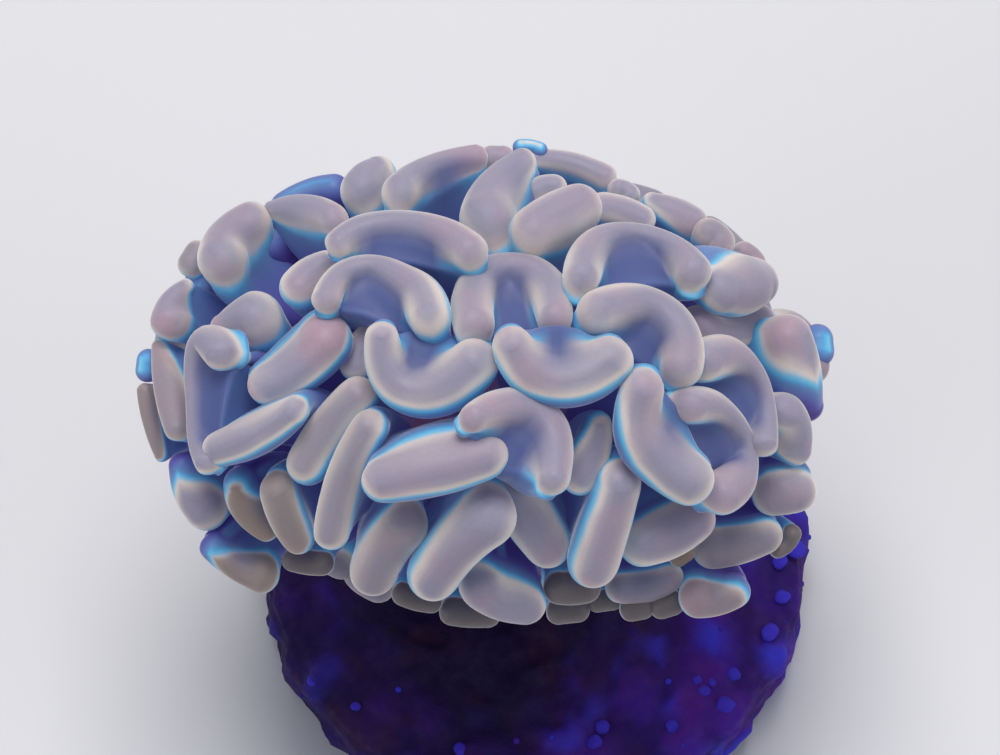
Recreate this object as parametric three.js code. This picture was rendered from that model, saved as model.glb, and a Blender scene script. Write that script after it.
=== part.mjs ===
// A hammer coral: one fleshy polyp with a dome of anchor-shaped tentacles, on its stony stem and a
// round crusted disc. Millimetres, +Z up, origin at the middle of the disc's flat underside.

import * as THREE from 'three';

// Disc
const DISC_RADIUS = 14.4;
const DISC_HEIGHT = 5;
const DISC_ROUNDING = 1.1;
const DISC_SIDES = 40;

// Stem of the skeleton, an oval that flares towards the top
const STEM_GAP = 0.3;
const STEM_HEIGHT = 16.6;
const STEM_FOOT = new THREE.Vector2(6.2, 4.2);
const STEM_WAIST = new THREE.Vector2(5.4, 3.9);
const STEM_RIM = new THREE.Vector2(8.6, 5.6);
const STEM_LEVELS = [
  { up: 0, half: STEM_FOOT },
  { up: 0.12, half: STEM_FOOT.clone().lerp(STEM_WAIST, 0.5) },
  { up: 0.35, half: STEM_WAIST },
  { up: 0.65, half: STEM_WAIST.clone().lerp(STEM_RIM, 0.35) },
  { up: 0.9, half: STEM_RIM.clone().multiplyScalar(0.94) },
  { up: 1, half: STEM_RIM },
];
const STEM_SIDES = 24;

// Crown of tentacles: an ellipsoid around the tips
const CROWN_CENTRE = new THREE.Vector3(-2.55, 0.75, 28);
const CROWN_HALF = new THREE.Vector3(17.3, 12.4, 10.2);
const TIP_DEPTH = 1.15;

// Flesh of the polyp, a flat cushion inside the crown
const POLYP_HALF = new THREE.Vector3(9.6, 6.2, 3.6);
const POLYP_DROP = 2.2;
const POLYP_SIDES = 24;
const POLYP_STEPS = [-36, -12, 12, 34, 54, 74].map(THREE.MathUtils.degToRad);
const ROOT_GAP = 0.35;
const ROOT_LOWEST = -0.3;

// The tips were measured in the plane of a view from the front, this high above the horizon
const VIEW_ELEVATION = THREE.MathUtils.degToRad(70);
const VIEW_DISTANCE = 400;
const CROWN_IN_VIEW = new THREE.Vector2(-0.7, -0.3);
const SIGHT_PASSES = 4;

// Each tip in that plane: its two end centres and its middle, the radius at either end, how many
// degrees it leans from the line of sight (positive leans to the left on the way from the first
// end to the other) and how far it stands forward of the dome, with the squeezed ones set deeper
const FRONT_TIPS = [
  { ends: [-12.55, 7.8, -13.85, 5.8], middle: [-13.6, 7.0], radii: [1.15, 1.15], lean: -35, lift: 0.4 },
  { ends: [-11.0, 8.2, -8.15, 7.8], middle: [-9.65, 8.3], radii: [0.9, 0.9], lean: 35, lift: -0.4 },
  { ends: [-10.15, 4.3, -9.1, 5.6], middle: [-9.75, 4.9], radii: [1.05, 1.05], lean: 25, lift: 0 },
  { ends: [-6.9, 9.3, -6.3, 9.85], middle: [-6.6, 9.6], radii: [1.3, 1.3], lean: 40, lift: 0 },
  { ends: [-5.05, 9.1, -1.4, 10.9], middle: [-3.6, 10.3], radii: [1.0, 0.85], lean: 45, lift: 0 },
  { ends: [1.1, 10.7, -0.8, 7.6], middle: [0.0, 9.4], radii: [0.85, 1.35], lean: -30, lift: 0.6 },
  { ends: [2.5, 10.9, 5.15, 10.0], middle: [3.85, 10.6], radii: [0.8, 0.8], lean: 35, lift: -0.4 },
  { ends: [-7.7, 7.0, -1.7, 6.4], middle: [-4.75, 7.4], radii: [1.0, 1.05], lean: 40, lift: 0.6 },
  { ends: [-8.45, 4.15, -3.35, 3.3], middle: [-6.25, 5.4], radii: [0.9, 1.05], lean: 36, lift: 0.4 },
  { ends: [-1.35, 3.0, 2.6, 3.1], middle: [0.4, 5.3], radii: [1.1, 0.9], lean: 50, lift: -0.8 },
  { ends: [1.75, 7.0, 3.9, 8.6], middle: [2.75, 7.8], radii: [1.4, 1.3], lean: 25, lift: 0.3 },
  { ends: [5.6, 8.6, 6.9, 8.2], middle: [6.35, 8.5], radii: [0.9, 0.9], lean: 30, lift: -0.6 },
  { ends: [4.1, 5.0, 9.6, 5.2], middle: [6.6, 6.8], radii: [1.0, 0.95], lean: 50, lift: 0.6 },
  { ends: [7.75, 8.7, 9.6, 7.8], middle: [8.8, 8.3], radii: [0.7, 0.8], lean: 40, lift: -0.2 },
  { ends: [11.1, 4.4, 12.6, 4.8], middle: [11.9, 4.6], radii: [1.3, 1.35], lean: -25, lift: 0 },
  { ends: [10.0, 2.8, 13.25, 3.1], middle: [11.4, 2.2], radii: [0.85, 0.85], lean: 0, lift: -1.2 },
  { ends: [14.3, 1.9, 15.7, -1.5], middle: [15.75, 0.6], radii: [1.2, 0.5], lean: 45, lift: 0 },
  { ends: [-15.9, 4.3, -16.6, 2.6], middle: [-16.5, 3.3], radii: [0.9, 0.95], lean: -40, lift: 0 },
  { ends: [-13.9, 3.0, -12.0, 2.9], middle: [-12.5, 3.1], radii: [0.9, 1.35], lean: 25, lift: -0.3 },
  { ends: [-13.6, 1.1, -14.7, -3.9], middle: [-15.15, -0.1], radii: [1.15, 0.6], lean: -55, lift: 0.6 },
  { ends: [-11.2, -0.3, -8.6, 2.0], middle: [-9.75, 0.9], radii: [1.25, 1.3], lean: -20, lift: -0.4 },
  { ends: [-13.9, -3.5, -10.5, -1.7], middle: [-12.25, -2.7], radii: [1.05, 1.0], lean: -8, lift: 1.6 },
  { ends: [-16.85, 1.4, -16.1, -2.5], middle: [-16.65, -0.6], radii: [0.7, 0.75], lean: -40, lift: 0 },
  { ends: [-17.9, -0.9, -16.85, -4.1], middle: [-17.6, -2.4], radii: [0.5, 0.5], lean: -40, lift: -0.6 },
  { ends: [-5.8, 1.35, -1.25, 0.75], middle: [-3.75, -0.65], radii: [1.15, 1.3], lean: -10, lift: 1.6 },
  { ends: [-9.5, -4.2, -7.4, -0.9], middle: [-8.5, -2.6], radii: [1.1, 1.1], lean: 15, lift: 0.2 },
  { ends: [-8.35, -7.6, -6.5, -2.6], middle: [-7.5, -5.2], radii: [1.0, 1.0], lean: 10, lift: 1.0 },
  { ends: [0.75, 1.3, 5.15, 0.85], middle: [3.15, 0.0], radii: [1.3, 1.18], lean: -15, lift: 1.6 },
  { ends: [5.0, 3.4, 9.1, 0.9], middle: [8.0, 3.4], radii: [1.15, 1.15], lean: 38, lift: 0.8 },
  { ends: [-0.8, -1.7, 2.65, -4.7], middle: [1.75, -2.1], radii: [0.95, 0.9], lean: 45, lift: 0.8 },
  { ends: [7.15, -0.7, 9.5, -5.1], middle: [7.0, -3.1], radii: [1.1, 1.3], lean: -12, lift: 2 },
  { ends: [9.65, -1.3, 11.4, -5.6], middle: [11.9, -2.9], radii: [1.0, 1.05], lean: 45, lift: 0.2 },
  { ends: [10.9, 1.1, 13.2, -3.0], middle: [12.9, -0.1], radii: [1.1, 0.85], lean: 45, lift: -0.4 },
  { ends: [14.25, -1.6, 14.85, -3.7], middle: [14.65, -2.6], radii: [0.9, 0.9], lean: 40, lift: -0.4 },
  { ends: [-16.4, -3.9, -14.7, -6.5], middle: [-16.0, -5.6], radii: [0.5, 1.1], lean: -40, lift: 0 },
  { ends: [-14.4, -9.0, -11.8, -10.0], middle: [-13.25, -9.8], radii: [0.6, 0.9], lean: -45, lift: -0.2 },
  { ends: [-13.15, -5.6, -11.75, -7.6], middle: [-12.65, -6.7], radii: [0.85, 0.85], lean: -35, lift: -0.4 },
  { ends: [-11.05, -5.6, -10.2, -8.0], middle: [-10.7, -6.8], radii: [1.0, 1.0], lean: -15, lift: 0.4 },
  { ends: [-5.6, -5.1, -0.85, -3.9], middle: [-3.25, -4.3], radii: [1.3, 1.35], lean: -25, lift: 1.2 },
  { ends: [-6.35, -9.6, -4.75, -7.4], middle: [-5.6, -8.5], radii: [1.2, 1.2], lean: -20, lift: 0.2 },
  { ends: [-3.4, -10.0, -0.5, -6.7], middle: [-2.0, -8.4], radii: [1.35, 1.35], lean: -20, lift: 1.2 },
  { ends: [-0.85, -10.3, 1.25, -11.2], middle: [0.15, -10.7], radii: [1.2, 1.15], lean: -40, lift: 0.2 },
  { ends: [1.15, -6.3, 2.5, -8.4], middle: [1.75, -6.9], radii: [1.3, 1.3], lean: -20, lift: -1.8 },
  { ends: [4.75, -9.2, 5.85, -5.5], middle: [5.15, -7.4], radii: [1.3, 1.25], lean: -15, lift: 0.8 },
  { ends: [3.9, -5.0, 5.1, -2.9], middle: [4.6, -4.0], radii: [0.85, 0.85], lean: -15, lift: -1.4 },
  { ends: [7.25, -8.4, 9.75, -7.4], middle: [8.4, -8.0], radii: [1.2, 1.2], lean: -30, lift: -0.6 },
  { ends: [10.6, -8.6, 13.15, -8.0], middle: [11.85, -8.4], radii: [1.05, 1.0], lean: -40, lift: -0.2 },
  { ends: [13.65, -5.8, 14.85, -5.7], middle: [14.25, -5.5], radii: [1.1, 0.95], lean: -40, lift: 0.6 },
  { ends: [9.85, -11.0, 11.6, -10.7], middle: [10.65, -11.0], radii: [0.95, 0.9], lean: -45, lift: 0 },
  { ends: [6.25, -10.5, 8.3, -10.0], middle: [7.25, -10.4], radii: [0.85, 0.8], lean: -45, lift: -0.3 },
];

// A stalk leaves its root and meets its tip square on, each over this share of its reach
const STALK_EASE = 1 / 3;

// How deep the ends of an arched tip hang, in heights of its arch, and the share below the dome
const DROOP_MOST = 0.6;
const DROOP_SHARE = 0.65;

// How far off centre the top of an arch may lie, in half lengths
const SKEW_MOST = 0.3;

// Tips on the far side, spread evenly along the back of the crown
const REAR_TIPS = 7;
const REAR_START = THREE.MathUtils.degToRad(14);
const REAR_SWEEP = THREE.MathUtils.degToRad(152);
const REAR_ELEVATION = THREE.MathUtils.degToRad(-14);
const REAR_TURN = THREE.MathUtils.degToRad(38);
const REAR_HALF_LENGTH = 1.9;
const REAR_BEND = 0.9;
const REAR_RADIUS = 1.15;

// A tentacle's sections. Along the stalk: how far up it, then shares of the tip's length,
// thickness and bend. Over the tip: height above its middle in thicknesses, then the same shares.
const STALK_RINGS = [
  { along: 0.42, length: 0.2, thick: 0.52, bend: 0.1 },
  { along: 0.84, length: 0.62, thick: 0.58, bend: 0.75 },
];
const TIP_RINGS = [
  { height: -0.55, length: 0.96, thick: 0.88, bend: 1 },
  { height: 0, length: 1, thick: 1, bend: 1 },
  { height: 0.6, length: 0.97, thick: 0.8, bend: 1 },
  { height: 0.96, length: 0.86, thick: 0.36, bend: 1 },
];

// Outline of a section: place along its spine, then steps outward past the end and to the side
const OUTLINE = [
  { spine: 1, past: 1, side: 0 },
  { spine: 1, past: 0.5, side: 0.88 },
  { spine: 0.55, past: 0, side: 1 },
  { spine: 0, past: 0, side: 1 },
  { spine: -0.55, past: 0, side: 1 },
  { spine: -1, past: -0.5, side: 0.88 },
  { spine: -1, past: -1, side: 0 },
  { spine: -1, past: -0.5, side: -0.88 },
  { spine: -0.55, past: 0, side: -1 },
  { spine: 0, past: 0, side: -1 },
  { spine: 0.55, past: 0, side: -1 },
  { spine: 1, past: 0.5, side: -0.88 },
];

// A bent spine: how full its shoulders are, and how far its ends turn
const SHOULDERS = 2.4;
const END_TURN = 1.5;

// Settling: soft neighbours press each other aside until they clear by the gap. They are then drawn a
// little slimmer than they settled.
const SETTLE_ROUNDS = 500;
const SLIMMING = 0.93;
const SETTLE_GAP = 0.34;
const SETTLE_STEP = 0.35;
const DEPTH_FAVOUR = 1.2;
const SIDEWAYS_HOLD = 0.92;
const DEPTH_HOLD = 0.985;
const SWAY_MOST = 2;
const TIP_PUSH = { give: 0.2, tipShare: 1 };
const NECK_PUSH = { give: 0.5, tipShare: 0.6 };
const STALK_PUSH = { give: 20, tipShare: 0 };
const TIP_BALLS = [-1, -0.5, 0, 0.5, 1];
const STALK_BALLS = [0.36, 0.52, 0.68];
const NECK_BALLS = [-0.6, 0, 0.6];

const NECK_RING = STALK_RINGS.at(-1);
const VIEW_RIGHT = new THREE.Vector3(1, 0, 0);
const VIEW_UP = new THREE.Vector3(0, Math.sin(VIEW_ELEVATION), Math.cos(VIEW_ELEVATION));
const VIEW_TOWARD = new THREE.Vector3(0, -Math.cos(VIEW_ELEVATION), Math.sin(VIEW_ELEVATION));
const TIP_HALF = CROWN_HALF.clone().subScalar(TIP_DEPTH);
const POLYP_CENTRE = CROWN_CENTRE.clone().setZ(CROWN_CENTRE.z - POLYP_DROP);

const FLESH = { color: 0xc4afae, roughness: 0.55, metalness: 0 };
const INNER_FLESH = { color: 0x5d5296, roughness: 0.6, metalness: 0 };
const STONE = { color: 0x8d8088, roughness: 0.9, metalness: 0 };
const CRUST = { color: 0x3a1c7c, roughness: 0.8, metalness: 0 };

function namedMesh(name, geometry, look) {
  const mesh = new THREE.Mesh(geometry, new THREE.MeshStandardMaterial(look));
  mesh.name = name;
  return mesh;
}

// Closed skin over rings of equal size, from a bottom point to the last ring, which is closed by a
// strip from its first point to the one opposite
function skinOverRings(bottom, rings) {
  const sides = rings[0].length;
  const top = rings.length - 1;
  const at = (ring, side) => 1 + ring * sides + (side % sides);
  const faces = [];
  for (let side = 0; side < sides; side += 1) {
    faces.push(0, at(0, side + 1), at(0, side));
    for (let ring = 0; ring < top; ring += 1) {
      faces.push(at(ring, side), at(ring, side + 1), at(ring + 1, side + 1));
      faces.push(at(ring, side), at(ring + 1, side + 1), at(ring + 1, side));
    }
  }
  faces.push(at(top, 0), at(top, 1), at(top, sides - 1));
  for (let side = 1; 2 * side + 2 < sides; side += 1) {
    faces.push(at(top, side), at(top, side + 1), at(top, sides - side - 1));
    faces.push(at(top, side), at(top, sides - side - 1), at(top, sides - side));
  }
  faces.push(at(top, sides / 2), at(top, sides / 2 + 1), at(top, sides / 2 - 1));
  const geometry = new THREE.BufferGeometry().setFromPoints([bottom, ...rings.flat()]);
  geometry.setIndex(faces);
  geometry.computeVertexNormals();
  return geometry;
}

function ovalRing(centre, half, sides) {
  return Array.from({ length: sides }, (_, side) => {
    const angle = (2 * Math.PI * side) / sides;
    return new THREE.Vector3(
      centre.x + half.x * Math.cos(angle),
      centre.y + half.y * Math.sin(angle),
      centre.z,
    );
  });
}

function makeDisc() {
  const profile = new THREE.Path();
  profile.moveTo(0, 0);
  profile.lineTo(DISC_RADIUS - DISC_ROUNDING / 2, 0);
  profile.lineTo(DISC_RADIUS, DISC_ROUNDING / 2);
  profile.lineTo(DISC_RADIUS, DISC_HEIGHT - DISC_ROUNDING);
  profile.lineTo(DISC_RADIUS - DISC_ROUNDING, DISC_HEIGHT);
  profile.lineTo(0, DISC_HEIGHT);
  const disc = new THREE.LatheGeometry(profile.getPoints(1), DISC_SIDES);
  disc.rotateX(Math.PI / 2);
  return disc;
}

// The stem bends from the disc's middle to below the crown's middle
function makeStem() {
  const foot = new THREE.Vector3(CROWN_CENTRE.x / 2, CROWN_CENTRE.y / 2, DISC_HEIGHT + STEM_GAP);
  const rim = new THREE.Vector3(CROWN_CENTRE.x, CROWN_CENTRE.y, foot.z + STEM_HEIGHT);
  const rings = STEM_LEVELS.map(({ up, half }) => ovalRing(foot.clone().lerp(rim, up), half, STEM_SIDES));
  return skinOverRings(foot, rings);
}

// A cushion with a flat seat on the stem
function makePolyp() {
  const seat = DISC_HEIGHT + 2 * STEM_GAP + STEM_HEIGHT;
  const bottom = new THREE.Vector3(POLYP_CENTRE.x, POLYP_CENTRE.y, seat);
  const rings = POLYP_STEPS.map((angle, index) => {
    const level = index === 0 ? seat : POLYP_CENTRE.z + POLYP_HALF.z * Math.sin(angle);
    const half = POLYP_HALF.clone().multiplyScalar(Math.cos(angle));
    return ovalRing(POLYP_CENTRE.clone().setZ(level), half, POLYP_SIDES);
  });
  return skinOverRings(bottom, rings);
}

// How far towards the viewer the tips' ellipsoid lies at a place in the view. Past its outline, the
// outline's own depth is taken.
function domeDepth(right, up) {
  const toUp = new THREE.Vector3(0, VIEW_UP.y, VIEW_UP.z).divide(TIP_HALF);
  const toViewer = new THREE.Vector3(0, VIEW_TOWARD.y, VIEW_TOWARD.z).divide(TIP_HALF);
  const squared = toViewer.lengthSq();
  const half = up * toUp.dot(toViewer);
  const rest = up * up * toUp.lengthSq() + (right / TIP_HALF.x) ** 2 - 1;
  const inside = Math.max(0, half * half - squared * rest);
  return (-half + Math.sqrt(inside)) / squared;
}

// A measured place, brought onto the dome along its line of sight
function onDome(x, y, lift) {
  let depth = 0;
  let spread = 1;
  for (let pass = 0; pass < SIGHT_PASSES; pass += 1) {
    spread = 1 - depth / VIEW_DISTANCE;
    depth = domeDepth(x * spread - CROWN_IN_VIEW.x, y * spread - CROWN_IN_VIEW.y) + lift;
  }
  return CROWN_CENTRE.clone()
    .addScaledVector(VIEW_RIGHT, x * spread - CROWN_IN_VIEW.x)
    .addScaledVector(VIEW_UP, y * spread - CROWN_IN_VIEW.y)
    .addScaledVector(VIEW_TOWARD, depth);
}

// Roots lie on the cushion's upper part, each below its own tip, so stalks fan out without crossing
function rootBelow(tip) {
  const root = tip.clone().sub(CROWN_CENTRE).divide(TIP_HALF);
  root.z = Math.max(root.z, ROOT_LOWEST);
  root.normalize().multiply(POLYP_HALF.clone().addScalar(ROOT_GAP));
  return root.add(POLYP_CENTRE);
}

function newTentacle(ends, middle, radii, outward) {
  const centre = ends[0].clone().add(ends[1]).multiplyScalar(0.5);
  const along = ends[1].clone().sub(ends[0]).multiplyScalar(0.5);
  const axis = along.clone().normalize();
  const out = outward.clone().addScaledVector(axis, -axis.dot(outward)).normalize();
  const root = rootBelow(middle);
  const bend = middle.clone().sub(centre);
  const skew = bend.dot(axis);
  const mostSkew = SKEW_MOST * along.length();
  bend.addScaledVector(axis, THREE.MathUtils.clamp(skew, -mostSkew, mostSkew) - skew);
  return { centre, along, bend, radii, out, root, sway: new THREE.Vector3() };
}

// An arched tip hangs its two ends back along its stalk, so they lie deeper than its middle
function frontTentacle({ ends, middle, radii, lean, lift }) {
  const [x0, y0, x1, y1] = ends;
  const angle = THREE.MathUtils.degToRad(lean);
  const left = new THREE.Vector2(y0 - y1, x1 - x0).normalize();
  const arch = left.x * (middle[0] - (x0 + x1) / 2) + left.y * (middle[1] - (y0 + y1) / 2);
  const droop = Math.max(0, arch * Math.sign(lean)) * Math.min(DROOP_MOST, Math.abs(1 / Math.tan(angle)));
  const outward = VIEW_TOWARD.clone()
    .multiplyScalar(Math.cos(angle))
    .addScaledVector(VIEW_RIGHT, left.x * Math.sin(angle))
    .addScaledVector(VIEW_UP, left.y * Math.sin(angle));
  const low = lift - droop * DROOP_SHARE;
  const high = lift + droop * (1 - DROOP_SHARE);
  const places = [onDome(x0, y0, low), onDome(x1, y1, low)];
  return newTentacle(places, onDome(middle[0], middle[1], high), radii, outward);
}

function rearTentacle(index) {
  const turn = REAR_START + (REAR_SWEEP * index) / (REAR_TIPS - 1);
  const direction = new THREE.Vector3(
    Math.cos(turn) * Math.cos(REAR_ELEVATION),
    Math.sin(turn) * Math.cos(REAR_ELEVATION),
    Math.sin(REAR_ELEVATION),
  );
  const centre = direction.clone().multiply(TIP_HALF).add(CROWN_CENTRE);
  const outward = direction.clone().divide(TIP_HALF).normalize();
  const level = new THREE.Vector3(0, 0, 1).cross(outward).normalize();
  const tilt = index % 2 ? REAR_TURN : -REAR_TURN;
  const along = level.applyAxisAngle(outward, tilt).multiplyScalar(REAR_HALF_LENGTH);
  const bend = outward.clone().cross(along).normalize().multiplyScalar(REAR_BEND);
  const places = [centre.clone().sub(along), centre.clone().add(along)];
  return newTentacle(places, centre.add(bend), [REAR_RADIUS, REAR_RADIUS], outward);
}

const meanRadius = (tentacle) => (tentacle.radii[0] + tentacle.radii[1]) / 2;

// The line of the stalk, from its root to the underside of the tip
function stalkLine({ root, centre, out, sway, ...tentacle }) {
  const neck = centre.clone().addScaledVector(out, -meanRadius(tentacle));
  const reach = root.distanceTo(neck) * STALK_EASE;
  const rising = root.clone().sub(POLYP_CENTRE).divide(POLYP_HALF).normalize();
  const low = root.clone().addScaledVector(rising, reach).add(sway);
  const high = neck.clone().addScaledVector(out, -reach).add(sway);
  return new THREE.CubicBezierCurve3(root, low, high, neck);
}

const spineAt = (base, along, bend, place) =>
  base.clone().addScaledVector(along, place).addScaledVector(bend, 1 - Math.abs(place) ** SHOULDERS);

function sectionRing(base, out, tentacle, shares) {
  const flat = tentacle.along.clone().addScaledVector(out, -out.dot(tentacle.along));
  const along = flat.setLength(tentacle.along.length() * shares.length);
  const axis = along.clone().normalize();
  const bend = tentacle.bend.clone().multiplyScalar(shares.bend);
  const turning = bend.clone().addScaledVector(axis, -axis.dot(bend));
  return OUTLINE.map(({ spine, past, side }) => {
    const share = (spine + 1) / 2;
    const settled = THREE.MathUtils.lerp(tentacle.radii[0], tentacle.radii[1], share);
    const radius = settled * shares.thick * SLIMMING;
    const tangent = along.clone().addScaledVector(turning, -END_TURN * spine).normalize();
    const across = out.clone().cross(tangent).normalize();
    return spineAt(base, along, bend, spine)
      .addScaledVector(tangent, past * radius)
      .addScaledVector(across, side * radius);
  });
}

function makeTentacle(tentacle) {
  const line = stalkLine(tentacle);
  const thickness = meanRadius(tentacle);
  const { centre, out } = tentacle;
  const stalk = STALK_RINGS.map((shares) => {
    const heading = line.getTangent(shares.along);
    return sectionRing(line.getPoint(shares.along), heading, tentacle, shares);
  });
  const tip = TIP_RINGS.map((shares) => {
    const base = centre.clone().addScaledVector(out, shares.height * thickness);
    return sectionRing(base, out, tentacle, shares);
  });
  return skinOverRings(tentacle.root, [...stalk, ...tip]);
}

// Balls that fill a tentacle, for settling: how easily each gives way, and how much of its push
// moves the tip rather than the stalk
function fleshBalls(tentacle) {
  const { centre, along, bend, radii } = tentacle;
  const line = stalkLine(tentacle);
  const tip = TIP_BALLS.map((place) => ({
    at: spineAt(centre, along, bend, place),
    radius: THREE.MathUtils.lerp(radii[0], radii[1], (place + 1) / 2),
    ...TIP_PUSH,
  }));
  const narrow = meanRadius(tentacle) * NECK_RING.thick;
  const neck = NECK_BALLS.map((place) => ({
    at: spineAt(line.getPoint(NECK_RING.along), along, bend, place),
    radius: narrow,
    ...NECK_PUSH,
  }));
  const stalk = STALK_BALLS.map((place) => ({ at: line.getPoint(place), radius: narrow, ...STALK_PUSH }));
  return [...tip, ...neck, ...stalk];
}

function pressApart(first, second, firstMove, secondMove) {
  const away = first.at.clone().sub(second.at);
  const overlap = first.radius + second.radius + SETTLE_GAP - away.length();
  if (overlap <= 0) {
    return;
  }
  away.addScaledVector(VIEW_TOWARD, DEPTH_FAVOUR * away.dot(VIEW_TOWARD)).setLength(overlap);
  const share = first.give / (first.give + second.give);
  firstMove.tip.addScaledVector(away, share * first.tipShare);
  firstMove.stalk.addScaledVector(away, share * (1 - first.tipShare));
  secondMove.tip.addScaledVector(away, (share - 1) * second.tipShare);
  secondMove.stalk.addScaledVector(away, (share - 1) * (1 - second.tipShare));
  firstMove.touches += 1;
  secondMove.touches += 1;
}

const noMove = () => ({ tip: new THREE.Vector3(), stalk: new THREE.Vector3(), touches: 0 });

function settle(tentacles) {
  const starts = tentacles.map(({ centre }) => centre.clone());
  for (let round = 0; round < SETTLE_ROUNDS; round += 1) {
    const balls = tentacles.map(fleshBalls);
    const moves = tentacles.map(noMove);
    for (let i = 0; i < balls.length; i += 1) {
      for (let j = i + 1; j < balls.length; j += 1) {
        for (const first of balls[i]) {
          for (const second of balls[j]) {
            pressApart(first, second, moves[i], moves[j]);
          }
        }
      }
    }
    tentacles.forEach(({ centre, sway }, index) => {
      const { tip, stalk, touches } = moves[index];
      const step = SETTLE_STEP / Math.sqrt(Math.max(1, touches));
      sway.addScaledVector(stalk, step).clampLength(0, SWAY_MOST);
      const moved = centre.clone().addScaledVector(tip, step).sub(starts[index]);
      const depth = moved.dot(VIEW_TOWARD);
      const sideways = moved.addScaledVector(VIEW_TOWARD, -depth).multiplyScalar(SIDEWAYS_HOLD);
      centre.copy(starts[index]).add(sideways).addScaledVector(VIEW_TOWARD, depth * DEPTH_HOLD);
    });
  }
}

const tentacles = [
  ...FRONT_TIPS.map(frontTentacle),
  ...Array.from({ length: REAR_TIPS }, (_, index) => rearTentacle(index)),
];
settle(tentacles);

const coral = new THREE.Group();
coral.add(namedMesh('plug_disc', makeDisc(), CRUST));
coral.add(namedMesh('skeleton', makeStem(), STONE));
coral.add(namedMesh('polyp', makePolyp(), INNER_FLESH));
tentacles.forEach((tentacle, index) => {
  const name = `tentacle_${String(index + 1).padStart(2, '0')}`;
  coral.add(namedMesh(name, makeTentacle(tentacle), FLESH));
});

export default coral;
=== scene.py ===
"""Looks of a hammer coral: fleshy tentacles on a ribbed stony stem and a crusted disc.

Named sizes and places are millimetres, apart from those of the stage and those measured in the view.
Everything in the scene is metres.
"""

import math
import random

import bmesh
import bpy
import numpy as np
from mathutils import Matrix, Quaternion, Vector, noise


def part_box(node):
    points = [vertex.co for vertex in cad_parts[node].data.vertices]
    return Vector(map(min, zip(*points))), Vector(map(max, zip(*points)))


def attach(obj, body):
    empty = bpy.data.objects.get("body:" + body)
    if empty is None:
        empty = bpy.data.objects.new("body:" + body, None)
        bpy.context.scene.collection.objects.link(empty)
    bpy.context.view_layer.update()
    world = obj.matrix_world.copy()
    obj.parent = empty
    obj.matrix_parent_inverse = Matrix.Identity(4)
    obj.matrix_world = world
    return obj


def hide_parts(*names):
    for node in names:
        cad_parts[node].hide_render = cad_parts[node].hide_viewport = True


MM = 0.001
TENTACLE_NODES = 57

# View that the tips were measured in, and the crown of tips, as in the part's source
VIEW_ELEVATION = math.radians(70)
VIEW_DISTANCE = 400
VIEW_AIM = Vector((-1.85, 1.03, 28.1))
VIEW_LENS = 288
VIEW_SENSOR = 36
VIEW_NEAR = 10
VIEW_RIGHT = Vector((1, 0, 0))
VIEW_UP = Vector((0, math.sin(VIEW_ELEVATION), math.cos(VIEW_ELEVATION)))
VIEW_TOWARD = Vector((0, -math.cos(VIEW_ELEVATION), math.sin(VIEW_ELEVATION)))
SIGHT_PASSES = 4
VIEW_MIDDLE = (500, 377.5)
STEPS_IN_MM = 20
CROWN_IN_VIEW = (-0.7, -0.3)
CROWN_CENTRE = Vector((-2.55, 0.75, 28))
TIP_HALF = Vector((16.15, 11.25, 9.05))
POLYP_CENTRE = Vector((-2.55, 0.75, 25.8))
ROOT_HALF = Vector((9.6, 6.2, 3.6))
ROOT_LOWEST = -0.45

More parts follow.
